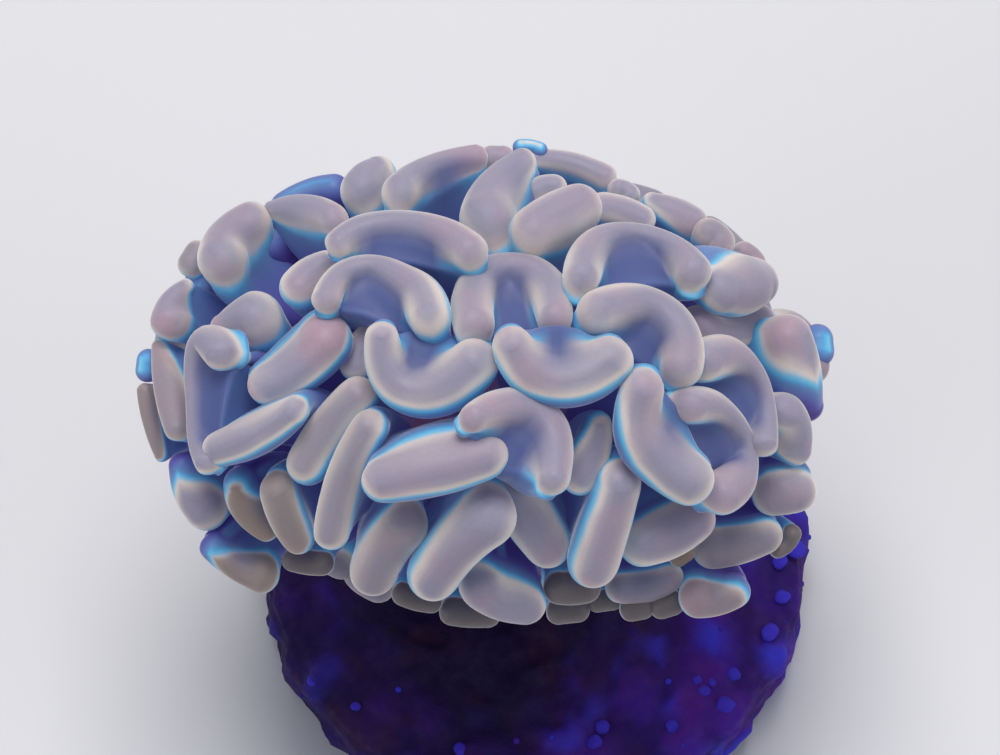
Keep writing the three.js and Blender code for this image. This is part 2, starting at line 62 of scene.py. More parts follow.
# Spines of the front tips, measured in the 1000 by 755 view: across, down and radius at each place,
# keyed by the number of the tentacle's node
FRONT_SPINES = {
    1: [(251, 222, 21), (231, 238, 23), (223, 260, 25)],
    2: [(272, 209, 9), (302, 210, 16), (334, 219, 15)],
    3: [(326, 264, 14), (311, 274, 18), (299, 288, 20)],
    4: [(377, 178, 21), (369, 184, 23), (361, 190, 22)],
    5: [(475, 157, 13), (436, 167, 14), (401, 193, 19)],
    6: [(522, 163, 15), (499, 189, 23), (487, 221, 28)],
    7: [(532, 159, 10), (572, 164, 12), (604, 177, 13)],
    8: [(339, 243, 14), (358, 231, 15), (388, 224, 14), (422, 227, 15), (450, 238, 18), (469, 251, 19)],
    9: [(327, 298, 15), (345, 273, 13), (372, 266, 12), (401, 279, 16), (424, 299, 22), (430, 317, 22)],
    10: [
        (474, 324, 21),
        (473, 299, 21),
        (487, 275, 19),
        (511, 269, 17),
        (537, 277, 20),
        (551, 298, 20),
        (554, 317, 18),
    ],
    11: [(578, 208, 25), (556, 220, 28), (533, 232, 25)],
    12: [(602, 208, 16), (622, 212, 16), (641, 220, 15)],
    13: [
        (581, 277, 19),
        (587, 257, 19),
        (604, 240, 16),
        (630, 234, 12),
        (656, 240, 13),
        (678, 254, 16),
        (692, 271, 19),
    ],
    14: [(652, 203, 11), (672, 213, 17), (692, 222, 16)],
    15: [(718, 290, 25), (736, 286, 31), (754, 282, 25)],
    16: [(697, 322, 17), (728, 335, 16), (760, 319, 16)],
    17: [(786, 338, 24), (794, 372, 26), (806, 405, 17)],
    18: [(186, 286, 8), (175, 300, 14), (171, 320, 21)],
    19: [(256, 319, 28), (240, 322, 22), (222, 326, 12)],
    20: [(222, 353, 18), (206, 342, 17), (197, 365, 13), (196, 405, 10), (198, 440, 10), (208, 461, 13)],
    21: [(326, 342, 28), (302, 367, 25), (268, 385, 21)],
    22: [(293, 412, 16), (257, 435, 21), (219, 449, 18)],
    23: [(159, 347, 9), (170, 390, 16), (178, 428, 13)],
    24: [(145, 391, 8), (151, 420, 9), (162, 455, 7)],
    25: [(382, 338, 17), (385, 364, 20), (400, 387, 23), (425, 393, 26), (452, 383, 28), (473, 364, 26)],
    26: [(358, 396, 20), (329, 428, 21), (308, 464, 22)],
    27: [(370, 428, 19), (345, 476, 19), (331, 533, 18)],
    28: [(513, 347, 21), (528, 369, 25), (556, 381, 27), (587, 375, 28), (609, 361, 25)],
    29: [(599, 311, 22), (623, 305, 22), (650, 306, 19), (671, 321, 20), (682, 344, 21), (682, 366, 21)],
    30: [(475, 417, 15), (500, 409, 20), (527, 411, 21), (548, 430, 22), (554, 455, 19), (554, 478, 16)],
    31: [(642, 390, 22), (637, 416, 24), (642, 441, 27), (663, 464, 26), (689, 480, 26)],
    32: [
        (690, 405, 19),
        (709, 406, 17),
        (731, 420, 12),
        (744, 441, 12),
        (744, 462, 15),
        (735, 480, 22),
        (722, 493, 21.5),
    ],
    33: [(703, 361, 22), (724, 356, 21), (748, 367, 13), (762, 389, 10), (766, 415, 11), (763, 442, 15)],
    34: [(783, 412, 20), (792, 430, 20), (794, 448, 18)],
    35: [(183, 466, 14), (194, 492, 20), (207, 510, 21)],
    36: [(262, 575, 18), (240, 568, 14), (213, 547, 13)],
    37: [(240, 483, 16), (247, 505, 18), (266, 528, 14)],
    38: [(278, 490, 18), (287, 515, 20), (298, 538, 17)],
    39: [(383, 481, 22), (434, 470, 27), (486, 456, 23)],
    40: [(405, 525, 24), (385, 547, 26), (373, 573, 24)],
    41: [(487, 517, 30), (457, 544, 28), (433, 575, 27)],
    42: [(483, 585, 25), (504, 595, 26), (524, 602, 23)],
    43: [(508, 485, 24), (528, 515, 27), (548, 545, 24)],
    44: [(618, 483, 23), (606, 521, 26), (593, 563, 26)],
    45: [(597, 425, 15), (590, 455, 20), (580, 477, 19)],
    46: [(692, 519, 24), (668, 532, 27), (642, 543, 24)],
    47: [(712, 548, 21), (740, 544, 20), (764, 535, 19)],
    48: [(773, 494, 22), (784, 492, 23), (795, 491, 22)],
    49: [(698, 598, 20), (716, 598, 18), (735, 592, 16)],
    50: [(620, 588, 15), (645, 587, 16), (669, 577, 15)],
}

# Tips whose paddle stands out past their hollow side, and how far
WEBS = {25: 0.3, 28: 0.1, 39: 0.45}

# Tips that stand further forward than their solids, and how far
LIFTS = {30: 1.5, 39: 0.7, 43: 1.3, 45: 1.6, 46: 0.6, 50: 0.4}

# How brown some of the caps are
TAN_TIPS = {
    23: 0.3,
    24: 0.6,
    26: 0.2,
    27: 0.2,
    36: 0.7,
    37: 0.8,
    38: 0.6,
    40: 0.2,
    47: 0.2,
    48: 0.1,
    49: 0.3,
}

# Small tips seen between the large ones: place in the view, half length, its turn in degrees, radius, how
# far it stands forward of the dome, its bend, how far the cap of a bare tip has gone, and how brown it is
SMALL_TIPS = [
    {"at": (-15.3, 5.95), "half": 0.35, "turn": 70, "radius": 0.65, "lift": -0.3, "bend": 0, "tan": 0.3},
    {"at": (-9.5, 8.95), "half": 1.3, "turn": 14, "radius": 0.8, "lift": -0.9, "bend": 0.3, "bare": 3.4},
    {"at": (-11.2, 7.0), "half": 0.6, "turn": 60, "radius": 0.9, "lift": -3.8, "bend": 0, "bare": 3.4},
    {"at": (-14.8, 4.5), "half": 0.5, "turn": -35, "radius": 0.8, "lift": -3.0, "bend": 0, "bare": 3.4},
    {"at": (-0.15, 11.0), "half": 0.3, "turn": 0, "radius": 0.6, "lift": -0.4, "bend": 0},
    {"at": (1.5, 11.45), "half": 0.5, "turn": -15, "radius": 0.4, "lift": -0.5, "bend": 0.1, "bare": 2.15},
    {"at": (2.25, 9.4), "half": 0.5, "turn": 20, "radius": 0.65, "lift": -0.6, "bend": 0.1},
    {"at": (6.2, 9.3), "half": 0.35, "turn": -30, "radius": 0.5, "lift": -0.9, "bend": 0.1},
    {"at": (10.7, 7.0), "half": 0.4, "turn": -40, "radius": 0.75, "lift": -0.3, "bend": 0.1, "tan": 0.2},
    {"at": (12.45, 6.0), "half": 0.4, "turn": -40, "radius": 0.55, "lift": -0.4, "bend": 0.1, "tan": 0.2},
    {"at": (15.9, 1.6), "half": 0.3, "turn": 80, "radius": 0.8, "lift": -1.2, "bend": 0, "bare": 2.8},
    {"at": (-17.6, 0.6), "half": 0.25, "turn": 80, "radius": 0.6, "lift": -0.5, "bend": 0, "bare": 2.6},
    {"at": (-6.8, 1.3), "half": 0.8, "turn": 60, "radius": 0.8, "lift": -1.8, "bend": 0.2},
    {"at": (9.1, -8.9), "half": 0.25, "turn": 40, "radius": 0.45, "lift": -0.9, "bend": 0, "tan": 0.9},
]

# Small brown tips at the near edge, measured in the same way
BROWN_TIPS = [
    {"at": (-9.6, -9.25), "half": 0.8, "turn": 4, "radius": 0.55, "lift": -0.4, "bend": -0.1},
    {"at": (-1.5, -11.8), "half": 0.9, "turn": -6, "radius": 0.65, "lift": -0.4, "bend": -0.1},
    {"at": (-4.15, -11.05), "half": 0.75, "turn": -20, "radius": 0.55, "lift": -0.4, "bend": -0.1},
    {"at": (3.6, -10.55), "half": 0.7, "turn": -4, "radius": 0.75, "lift": -0.6, "bend": -0.1},
    {"at": (3.4, -11.7), "half": 0.5, "turn": 0, "radius": 0.6, "lift": -0.8, "bend": 0},
    {"at": (5.25, -11.2), "half": 0.4, "turn": 0, "radius": 0.5, "lift": -0.8, "bend": 0},
    {"at": (14.25, -8.2), "half": 0.55, "turn": 55, "radius": 0.45, "lift": -0.6, "bend": -0.2},
    {"at": (6.85, -11.55), "half": 0.3, "turn": 0, "radius": 0.6, "lift": -0.6, "bend": 0},
    {"at": (8.35, -11.4), "half": 0.3, "turn": 10, "radius": 0.6, "lift": -0.6, "bend": 0},
]
# Tints of the brown tips: tan, and full painted shade
BROWN_AND_SHADE_TINTS = {"tan": 0.35, "painted_shade": 1.0}

# Rows of tips that the photographed side hides: degrees of elevation, first azimuth and sweep, count, half
# length and radius, and share of the dome's half width
HIDDEN_ROWS = [
    {"elevation": -6, "start": 22, "sweep": 136, "count": 7, "half": 1.2, "radius": 1.0, "share": 0.88},
    {"elevation": -31, "start": 8, "sweep": 340, "count": 18, "half": 1.2, "radius": 0.95, "share": 0.95},
    {"elevation": -50, "start": 0, "sweep": 330, "count": 12, "half": 0.9, "radius": 0.8, "share": 0.96},
]

# How much the tips of a hidden row differ in place, tilt, turn, depth, bend, length and thickness
HIDDEN_SHIFT = 0.25
HIDDEN_TILT = 4
HIDDEN_TURN = 60
HIDDEN_SPREAD = 0.035
HIDDEN_BEND = (0.1, 0.7)
HIDDEN_LENGTH = (0.75, 1.25)
HIDDEN_THICK = (0.85, 1.15)

# Seeds of what is drawn at random
TINT_SEED = 7
SMALL_SEED = 11
HIDDEN_SEED = 5
KNOB_SEED = 4

# Outline of a tentacle's section: place on the spine, then shares of the radius past its end and to the side
OUTLINE_SIDE = [
    (1, 0.7, 0.72),
    (1, 0.08, 1),
    (0.75, 0, 1),
    (0.5, 0, 1),
    (0.25, 0, 1),
    (0, 0, 1),
    (-0.25, 0, 1),
    (-0.5, 0, 1),
    (-0.75, 0, 1),
    (-1, -0.08, 1),
    (-1, -0.7, 0.72),
]
OUTLINE = [(1, 1, 0), *OUTLINE_SIDE, (-1, -1, 0)]
OUTLINE += [(spine, past, -side) for spine, past, side in reversed(OUTLINE_SIDE)]
SPINE, PAST, SIDE = (np.array(column, float) for column in zip(*OUTLINE))

# Sections from the root up. In the stalk: share of the way, of the tip's length and of its radius. In the
# tip: height in radii, share of its radius, how far its hollow side is filled and how blue that side is.
# Reach is what the colour follows.
STALK_SECTIONS = [
    {"along": 0.35, "length": 0.46, "thick": 0.78, "reach": 0.8},
    {"along": 0.72, "length": 0.70, "thick": 0.84, "reach": 1.6},
]
TIP_SECTIONS = [
    {"height": -1.50, "thick": 0.74, "fill": 0.9, "blue": 0.9, "reach": 2.3},
    {"height": -0.95, "thick": 0.82, "fill": 0.7, "blue": 1.0, "reach": 2.9},
    {"height": -0.50, "thick": 0.92, "fill": 0.35, "blue": 1.0, "reach": 3.5},
    {"height": 0.00, "thick": 1.00, "fill": 0.05, "blue": 0.9, "reach": 4.0},
    {"height": 0.50, "thick": 0.87, "fill": 0.0, "blue": 0.48, "reach": 4.6},
    {"height": 0.85, "thick": 0.54, "fill": 0.0, "blue": 0.12, "reach": 5.3},
    {"height": 0.98, "thick": 0.20, "fill": 0.0, "blue": 0.0, "reach": 6.0},
]
FULL_REACH = 6.0
NECK_DEPTH = 1.7
STALK_EASE = 1 / 3
CURVE_STEP = 0.02
STEEPEST_TIP = 0.55
SMALL_TIP_TURN = 0.9

# Sections of a tentacle's solid: points around, number of the last and of the widest one, how wide its
# shoulders are, and how close two points count as one
SOLID_SIDES = 12
SOLID_RINGS = 6
SOLID_BEAD = 4
SOLID_SHOULDER = 0.88
WELD = 0.002

# Tips whose cap fades on one side: direction of that side in the view, in degrees, and how far it fades
CAP_FADES = {
    3: (-120, 0.9),
    4: (20, 0.9),
    6: (-10, 1.2),
    9: (-10, 0.5),
    11: (-150, 0.9),
    14: (-140, 2.2),
    15: (150, 1.8),
    17: (-85, 6.5),
    18: (0, 1.3),
    19: (-30, 0.8),
    21: (-45, 1.6),
    22: (-60, 1.6),
    23: (50, 1.8),
    24: (0, 3.0),
    25: (-80, 1.2),
    26: (-40, 1.4),
    27: (-10, 1.6),
    28: (-80, 1.4),
    31: (-160, 1.4),
    34: (-130, 1.0),
    35: (110, 5.0),
    36: (140, 4.4),
    37: (90, 4.0),
    38: (10, 1.6),
    39: (-85, 1.2),
    40: (140, 1.8),
    41: (150, 2.0),
    42: (60, 3.8),
    43: (20, 1.8),
    44: (160, 2.2),
    45: (140, 2.6),
    46: (120, 2.4),
    47: (95, 3.4),
    48: (100, 2.2),
    49: (65, 4.2),
    50: (95, 3.6),
}
FADE_POWER = 1.5

# Where a fade starts short of the tip's middle, as a share of the way to its far side
FADE_STARTS = {17: -0.55, 35: -0.45, 36: -0.3, 37: -0.3, 42: -0.1, 49: -0.2}

# Painted shade, partly the flesh's own blue: how much further up the blue comes on a tip's shaded side,
# which faces down the view and the middle of the crown, the least share of that on its lit side, how far
# the cap turns towards the viewer and least away from it, how far from the cap's edge each is felt, and the
# reach past which a cap can fade
SHADED_SIDE_BLUE = 1.35
SHADED_SIDE_LEAST = -0.3
SHADED_SIDE_DOWN = 0.55
SHADED_SIDE_INWARD = 0.4
CAP_TURN = 2.4
TURN_LEAST = -0.25
SHADED_SIDE_WIDTH = 2.0
TURN_WIDTH = 3.2
CAP_EDGE = 4.0
FADING_REACH = 3.0

# Skin of a tentacle
SKIN_LEVEL = 2
HIDDEN_SKIN_LEVEL = 1
LUMP_SIZE = 2.2
LUMP_HEIGHT = 0.05
CAGE_ROUNDS = 2
CAGE_SHARE = 0.85

# A tip's own tints and its painted shade: how much it blushes, the share of that in its middle, the height
# below which its cream turns tan or darkens with painted shade, over how far, and how tan or shaded at most
BLUSH_RANGE = (0.3, 0.95)
BLUSH_MIDDLE = 0.35
CREAM_HEIGHT = 29
CREAM_FALL = 11
TAN_AND_SHADE_MOST = 0.85


def add_node(tree, kind, inputs=None, **settings):
    """Adds a node, and sets or wires its inputs by name or number."""
    node = tree.nodes.new(kind)
    for name, value in settings.items():
        setattr(node, name, value)
    for name, value in (inputs or {}).items():
        if isinstance(value, bpy.types.NodeSocket):
            tree.links.new(value, node.inputs[name])
        else:
            node.inputs[name].default_value = value
    return node


def math_node(tree, operation, *values):
    """The result of one arithmetic step."""
    return add_node(tree, "ShaderNodeMath", dict(enumerate(values)), operation=operation).outputs[0]


def centred(tree, value, width):
    """A number from 0 to 1, spread over a width with zero in its middle."""
    return math_node(tree, "MULTIPLY_ADD", value, width, -width / 2)


def vector_node(tree, operation, first, second):
    """The result of one step of vector arithmetic."""
    return add_node(tree, "ShaderNodeVectorMath", {0: first, 1: second}, operation=operation).outputs[0]


def scaled(tree, vector, share):
    """A vector times a number."""
    inputs = {0: vector, "Scale": share}
    return add_node(tree, "ShaderNodeVectorMath", inputs, operation="SCALE").outputs[0]


def new_shape_tree(name, sockets):
    """A geometry tree with a mesh input, the named sockets, and a mesh output."""
    tree = bpy.data.node_groups.new(name, "GeometryNodeTree")
    tree.interface.new_socket("Mesh", in_out="OUTPUT", socket_type="NodeSocketGeometry")
    tree.interface.new_socket("Mesh", in_out="INPUT", socket_type="NodeSocketGeometry")
    for socket, kind in sockets.items():
        tree.interface.new_socket(socket, in_out="INPUT", socket_type=kind)
    return tree, add_node(tree, "NodeGroupInput").outputs


def close_shape_tree(tree, mesh, material):
    """Ends a geometry tree with smooth shading, real geometry and its material."""
    smooth = add_node(tree, "GeometryNodeSetShadeSmooth", {"Geometry": mesh})
    real = add_node(tree, "GeometryNodeRealizeInstances", {"Geometry": smooth.outputs[0]})
    finish = add_node(tree, "GeometryNodeSetMaterial", {"Geometry": real.outputs[0], "Material": material})
    add_node(tree, "NodeGroupOutput", {"Mesh": finish.outputs[0]})


def apply_tree(piece, tree, values):
    """Runs a geometry tree on a piece and keeps the result as its plain mesh."""
    modifier = piece.modifiers.new(tree.name, "NODES")
    modifier.node_group = tree
    for item in tree.interface.items_tree:
        if item.in_out == "INPUT" and item.name in values:
            modifier[item.identifier] = values[item.name]
    graph = bpy.context.evaluated_depsgraph_get()
    shaped = piece.evaluated_get(graph)
    mesh = bpy.data.meshes.new_from_object(shaped, preserve_all_data_layers=True, depsgraph=graph)
    piece.modifiers.clear()
    piece.data = mesh
    mesh.name = piece.name


def push_out(tree, mesh, height):
    """Moves a mesh along its normals by a height."""
    outward = add_node(tree, "GeometryNodeInputNormal").outputs[0]
    inputs = {"Geometry": mesh, "Offset": scaled(tree, outward, height)}
    return add_node(tree, "GeometryNodeSetPosition", inputs).outputs[0]


def turn_about(tree, place, right, back, scale, wander):
    """Angle about an upright axis, straying a little from place to place."""
    stray = noise_node(tree, place, scale)
    return math_node(tree, "MULTIPLY_ADD", stray, wander, math_node(tree, "ARCTAN2", back, right))


def stored_number(tree, name):
    """A number stored on the points of the mesh that a geometry tree works on."""
    node = add_node(tree, "GeometryNodeInputNamedAttribute", {"Name": name}, data_type="FLOAT")
    return node.outputs["Attribute"]


def store_number(tree, mesh, name, value):
    """Stores a number on each point of a mesh under a name."""
    inputs = {"Geometry": mesh, "Name": name, "Value": value}
    return add_node(
        tree, "GeometryNodeStoreNamedAttribute", inputs, data_type="FLOAT", domain="POINT"
    ).outputs[0]


def new_piece(name, mesh):
    """A new object at the origin that holds a mesh."""
    piece = bpy.data.objects.new(name, mesh)
    bpy.context.scene.collection.objects.link(piece)
    return piece


def set_floats(mesh, name, values):
    """Stores one number per point under a name."""
    layer = mesh.attributes.new(name, "FLOAT", "POINT")
    layer.data.foreach_set("value", np.asarray(values, np.float32))


def get_points(mesh):
    """All points of a mesh as rows."""
    points = np.empty(len(mesh.vertices) * 3, np.float32)
    mesh.vertices.foreach_get("co", points)
    return points.reshape(-1, 3)


# Materials


def new_material(name):
    """A new material, with its tree and its surface shader."""
    material = bpy.data.materials.new(name)
    material.use_nodes = True
    tree = material.node_tree
    return material, tree, tree.nodes["Principled BSDF"]


def noise_node(tree, vector, scale, detail=2.0, roughness=0.5):
    """Soft noise between 0 and 1."""
    inputs = {"Vector": vector, "Scale": scale, "Detail": detail, "Roughness": roughness}
    return add_node(tree, "ShaderNodeTexNoise", inputs).outputs["Fac"]


def mix_colours(tree, share, first, second):
    """First colour turning into the second."""
    return add_node(tree, "ShaderNodeMix", {0: share, 6: first, 7: second}, data_type="RGBA").outputs[2]


def map_range(tree, value, low, high, to_low=0.0, to_high=1.0):
    """A value brought from one range to another, smoothly and clamped."""
    inputs = {"Value": value, "From Min": low, "From Max": high, "To Min": to_low, "To Max": to_high}
    return add_node(tree, "ShaderNodeMapRange", inputs, interpolation_type="SMOOTHSTEP").outputs[0]


def colour_ramp(tree, value, stops):
    """A colour that follows a value through the given stops."""
    node = add_node(tree, "ShaderNodeValToRGB", {"Fac": value})
    elements = node.color_ramp.elements
    while len(elements) < len(stops):
        elements.new(1.0)
    for element, (place, colour) in zip(elements, stops):
        element.position = place
        element.color = colour
    return node.outputs["Color"]


def attribute(tree, name):
    """A number stored on the mesh."""
    return add_node(tree, "ShaderNodeAttribute", attribute_name=name).outputs["Fac"]


def add_bump(tree, shader, height, strength, distance):
    """Fine relief on a shader."""
    inputs = {"Height": height, "Strength": strength, "Distance": distance}
    bump = add_node(tree, "ShaderNodeBump", inputs)
    tree.links.new(bump.outputs[0], shader.inputs["Normal"])


def object_place(tree):
    """Object coordinates."""
    return add_node(tree, "ShaderNodeTexCoord").outputs["Object"]


def vary_roughness(tree, shader, noise_value, least, most):
    """Roughness that follows a noise."""
    rough = map_range(tree, noise_value, *NOISE_SPAN, least, most)
    tree.links.new(rough, shader.inputs["Roughness"])


def add_painted_glow(tree, shader, colour, strength):
    """A weak painted glow in the surface's own colour, partly the flesh's fluorescence, lifting its shaded
    gaps.
    """
    tree.links.new(colour, shader.inputs["Emission Color"])
    shader.inputs["Emission Strength"].default_value = strength


def add_depth(shader, share, spread, depth):
    """Light that sinks into the surface, to a depth in millimetres."""
    shader.inputs["Subsurface Weight"].default_value = share
    shader.inputs["Subsurface Radius"].default_value = spread
    shader.inputs["Subsurface Scale"].default_value = depth * MM


# Span that most of a noise lies in, and how strong its finer parts are in a grain
NOISE_SPAN = (0.3, 0.7)
GRAIN_HARSHNESS = 0.65

# Tentacle flesh: colours by reach, tints, and the scales of its noises in cells per metre
# The cream band ringing each cap is partly the flesh's colour, partly a painted highlight brighter than the
# cap's middle
FLESH_STOPS = [
    (0.0, (0.070, 0.045, 0.250, 1)),
    (1.2, (0.095, 0.080, 0.340, 1)),
    (2.3, (0.115, 0.165, 0.410, 1)),
    (3.0, (0.120, 0.230, 0.460, 1)),
    (3.4, (0.105, 0.330, 0.580, 1)),
    (3.7, (0.130, 0.460, 0.690, 1)),
    (4.0, (0.260, 0.510, 0.670, 1)),
    (4.3, (0.570, 0.580, 0.590, 1)),
    (4.6, (0.660, 0.590, 0.530, 1)),
    (5.0, (0.540, 0.480, 0.470, 1)),
    (5.45, (0.365, 0.337, 0.387, 1)),
    (6.0, (0.287, 0.268, 0.345, 1)),
]
HOLLOW_COLOUR = (0.080, 0.104, 0.265, 1)
BLUSH_COLOUR = (0.400, 0.275, 0.335, 1)
TAN_COLOUR = (0.250, 0.185, 0.140, 1)
PAINTED_SHADE_COLOUR = (0.100, 0.100, 0.130, 1)
RIM_SHEEN = (0.95, 0.97, 0.95, 1)
WANDER_SCALE = 420.0
WANDER_REACH = 0.7
TINTED_REACH = (4.0, 4.9)
BLUSH_SCALE = 260.0
BLUSH_EDGE = (0.42, 0.68)
FLECK_SCALE = 5200.0
FLECK_SPAN = (0.3, 0.75)
FLECK_TONE = (0.98, 1.02)
SATIN_SCALE = 900.0
SATIN = (0.42, 0.55)
PORE_SCALE = 3800.0
PORE_DEPTH = 0.05
PORE_STRENGTH = 0.05
# Weak painted glow of the tentacle flesh, partly its fluorescence
FLESH_PAINTED_GLOW = 0.12
FLESH_SHINE = 0.28
FLESH_SINK = 0.6
FLESH_SINK_SPREAD = (1.0, 0.8, 0.8)
FLESH_SINK_DEPTH = 1.0
SHEEN_WIDTH = 0.25


def make_flesh():
    """Tentacle flesh: blue stalk, bright cyan band, matte cream cap with a blush, painted shade on low caps
    and a weak painted glow.
    """
    material, tree, shader = new_material("tentacle_flesh")
    place = object_place(tree)
    wander = centred(tree, noise_node(tree, place, WANDER_SCALE, detail=1.0), WANDER_REACH)
    reach = math_node(tree, "ADD", attribute(tree, "reach"), wander)
    stops = [(level / FULL_REACH, shade) for level, shade in FLESH_STOPS]
    colour = colour_ramp(tree, math_node(tree, "DIVIDE", reach, FULL_REACH), stops)
    cap = map_range(tree, reach, *TINTED_REACH)
    patches = map_range(tree, noise_node(tree, place, BLUSH_SCALE), *BLUSH_EDGE)
    blush = math_node(tree, "MULTIPLY", math_node(tree, "MULTIPLY", patches, cap), attribute(tree, "blush"))
    colour = mix_colours(tree, blush, colour, BLUSH_COLOUR)
    # Painted shade darkens low caps towards the crown's middle; tan is the caps' own colour
    for layer, shade in (("painted_shade", PAINTED_SHADE_COLOUR), ("tan", TAN_COLOUR)):
        share = math_node(tree, "MULTIPLY", cap, attribute(tree, layer))
        colour = mix_colours(tree, share, colour, shade)
    colour = mix_colours(tree, attribute(tree, "hollow"), colour, HOLLOW_COLOUR)
    flecks = map_range(tree, noise_node(tree, place, FLECK_SCALE), *FLECK_SPAN, *FLECK_TONE)
    colour = add_node(tree, "ShaderNodeHueSaturation", {"Value": flecks, "Color": colour}).outputs[0]
    tree.links.new(colour, shader.inputs["Base Color"])
    add_painted_glow(tree, shader, colour, FLESH_PAINTED_GLOW)
    vary_roughness(tree, shader, noise_node(tree, place, SATIN_SCALE), *SATIN)
    pores = noise_node(tree, place, PORE_SCALE, detail=3.0)
    add_bump(tree, shader, pores, PORE_STRENGTH, PORE_DEPTH * MM)
    add_depth(shader, FLESH_SINK, FLESH_SINK_SPREAD, FLESH_SINK_DEPTH)
    shader.inputs["Specular IOR Level"].default_value = FLESH_SHINE
    shader.inputs["Sheen Weight"].default_value = 1.0
    shader.inputs["Sheen Roughness"].default_value = SHEEN_WIDTH
    shader.inputs["Sheen Tint"].default_value = RIM_SHEEN
    return material


# Polyp flesh
POLYP_COLOUR = (0.190, 0.130, 0.420, 1)
POLYP_PATCH = (0.260, 0.130, 0.280, 1)
POLYP_SPECK = (0.160, 0.200, 0.440, 1)
POLYP_PATCH_SCALE = 320.0
POLYP_PATCH_EDGE = (0.4, 0.66)
POLYP_SPECK_SCALE = 2600.0
POLYP_SPECK_EDGE = (0.55, 0.75)
POLYP_SATIN_SCALE = 1400.0
POLYP_SATIN = (0.4, 0.6)
CREASE_SCALE = 2400.0
CREASE_DEPTH = 0.12
CREASE_STRENGTH = 0.35
# Weak painted glow of the polyp flesh, partly its fluorescence
POLYP_PAINTED_GLOW = 0.15
POLYP_SHINE = 0.3
POLYP_SINK = 0.25
POLYP_SINK_SPREAD = (1.0, 0.6, 0.8)
POLYP_SINK_DEPTH = 0.8


def make_polyp_flesh():
    """Flesh between the tentacles: violet with brown patches, fine folds and a weak painted glow."""
    material, tree, shader = new_material("polyp_flesh")
    place = object_place(tree)
    patches = map_range(tree, noise_node(tree, place, POLYP_PATCH_SCALE, detail=4.0), *POLYP_PATCH_EDGE)
    colour = mix_colours(tree, patches, POLYP_COLOUR, POLYP_PATCH)
    specks = map_range(tree, noise_node(tree, place, POLYP_SPECK_SCALE), *POLYP_SPECK_EDGE)
    colour = mix_colours(tree, specks, colour, POLYP_SPECK)
    tree.links.new(colour, shader.inputs["Base Color"])
    add_painted_glow(tree, shader, colour, POLYP_PAINTED_GLOW)
    vary_roughness(tree, shader, noise_node(tree, place, POLYP_SATIN_SCALE), *POLYP_SATIN)
    creases = noise_node(tree, place, CREASE_SCALE, detail=3.0)
    add_bump(tree, shader, creases, CREASE_STRENGTH, CREASE_DEPTH * MM)
    add_depth(shader, POLYP_SINK, POLYP_SINK_SPREAD, POLYP_SINK_DEPTH)
    shader.inputs["Specular IOR Level"].default_value = POLYP_SHINE
    return material


# Stone of the stem. The crust creeps up it between two heights, with a ragged edge.
GROOVE_COLOUR = (0.170, 0.120, 0.140, 1)
RIB_COLOUR = (0.460, 0.390, 0.370, 1)
STAIN_COLOUR = (0.260, 0.170, 0.220, 1)
CREEP_COLOUR = (0.170, 0.050, 0.240, 1)
STAIN_SCALE = 340.0
STAIN_EDGE = (0.45, 0.62)
CREEP_SCALE = 420.0
CREEP_TOP = 13
CREEP_FULL = 8
CREEP_RAGGED = 9
STONE_GRAIN_SCALE = 4200.0
STONE_GRAIN_DEPTH = 0.15
STONE_GRAIN_STRENGTH = 0.6
STONE_ROUGHNESS = 0.82


def make_stone():
    """Skeleton: pale ribs, darker grooves, violet crust creeping up from the foot."""
    material, tree, shader = new_material("skeleton_stone")
    place = object_place(tree)
    stone = mix_colours(tree, attribute(tree, "rib"), GROOVE_COLOUR, RIB_COLOUR)
    stain = map_range(tree, noise_node(tree, place, STAIN_SCALE, detail=4.0), *STAIN_EDGE)
    colour = mix_colours(tree, stain, stone, STAIN_COLOUR)
    height = add_node(tree, "ShaderNodeSeparateXYZ", {"Vector": place}).outputs["Z"]
    ragged = centred(tree, noise_node(tree, place, CREEP_SCALE, detail=3.0), CREEP_RAGGED * MM)
    creeping = map_range(tree, math_node(tree, "ADD", height, ragged), CREEP_TOP * MM, CREEP_FULL * MM)
    colour = mix_colours(tree, creeping, colour, CREEP_COLOUR)
    tree.links.new(colour, shader.inputs["Base Color"])
    shader.inputs["Roughness"].default_value = STONE_ROUGHNESS
    grain = noise_node(tree, place, STONE_GRAIN_SCALE, detail=4.0, roughness=GRAIN_HARSHNESS)
    add_bump(tree, shader, grain, STONE_GRAIN_STRENGTH, STONE_GRAIN_DEPTH * MM)
    return material


# Crust of the disc, in painted shade with one side painted as lit
CRUST_PAINTED_SHADE = (0.012, 0.005, 0.040, 1)
CRUST_PAINTED_LIGHT = (0.055, 0.012, 0.300, 1)
CRUST_PINK = (0.085, 0.012, 0.230, 1)
CRUST_BLUE = (0.045, 0.040, 0.600, 1)
CRUST_DULL = (0.040, 0.010, 0.038, 1)
LOBE_TONE = (0.35, 1.0)
PINK_SCALE = 210.0
PINK_EDGE = (0.42, 0.62)
DULL_SCALE = 330.0
DULL_EDGE = (0.5, 0.7)
DULL_MOST = 0.6
CHALK_SCALE = 1500.0
CHALK = (0.6, 0.9)
CRUST_GRAIN_SCALE = 3300.0
CRUST_GRAIN_DEPTH = 0.16
CRUST_GRAIN_STRENGTH = 0.55
CRUST_SHINE = 0.2


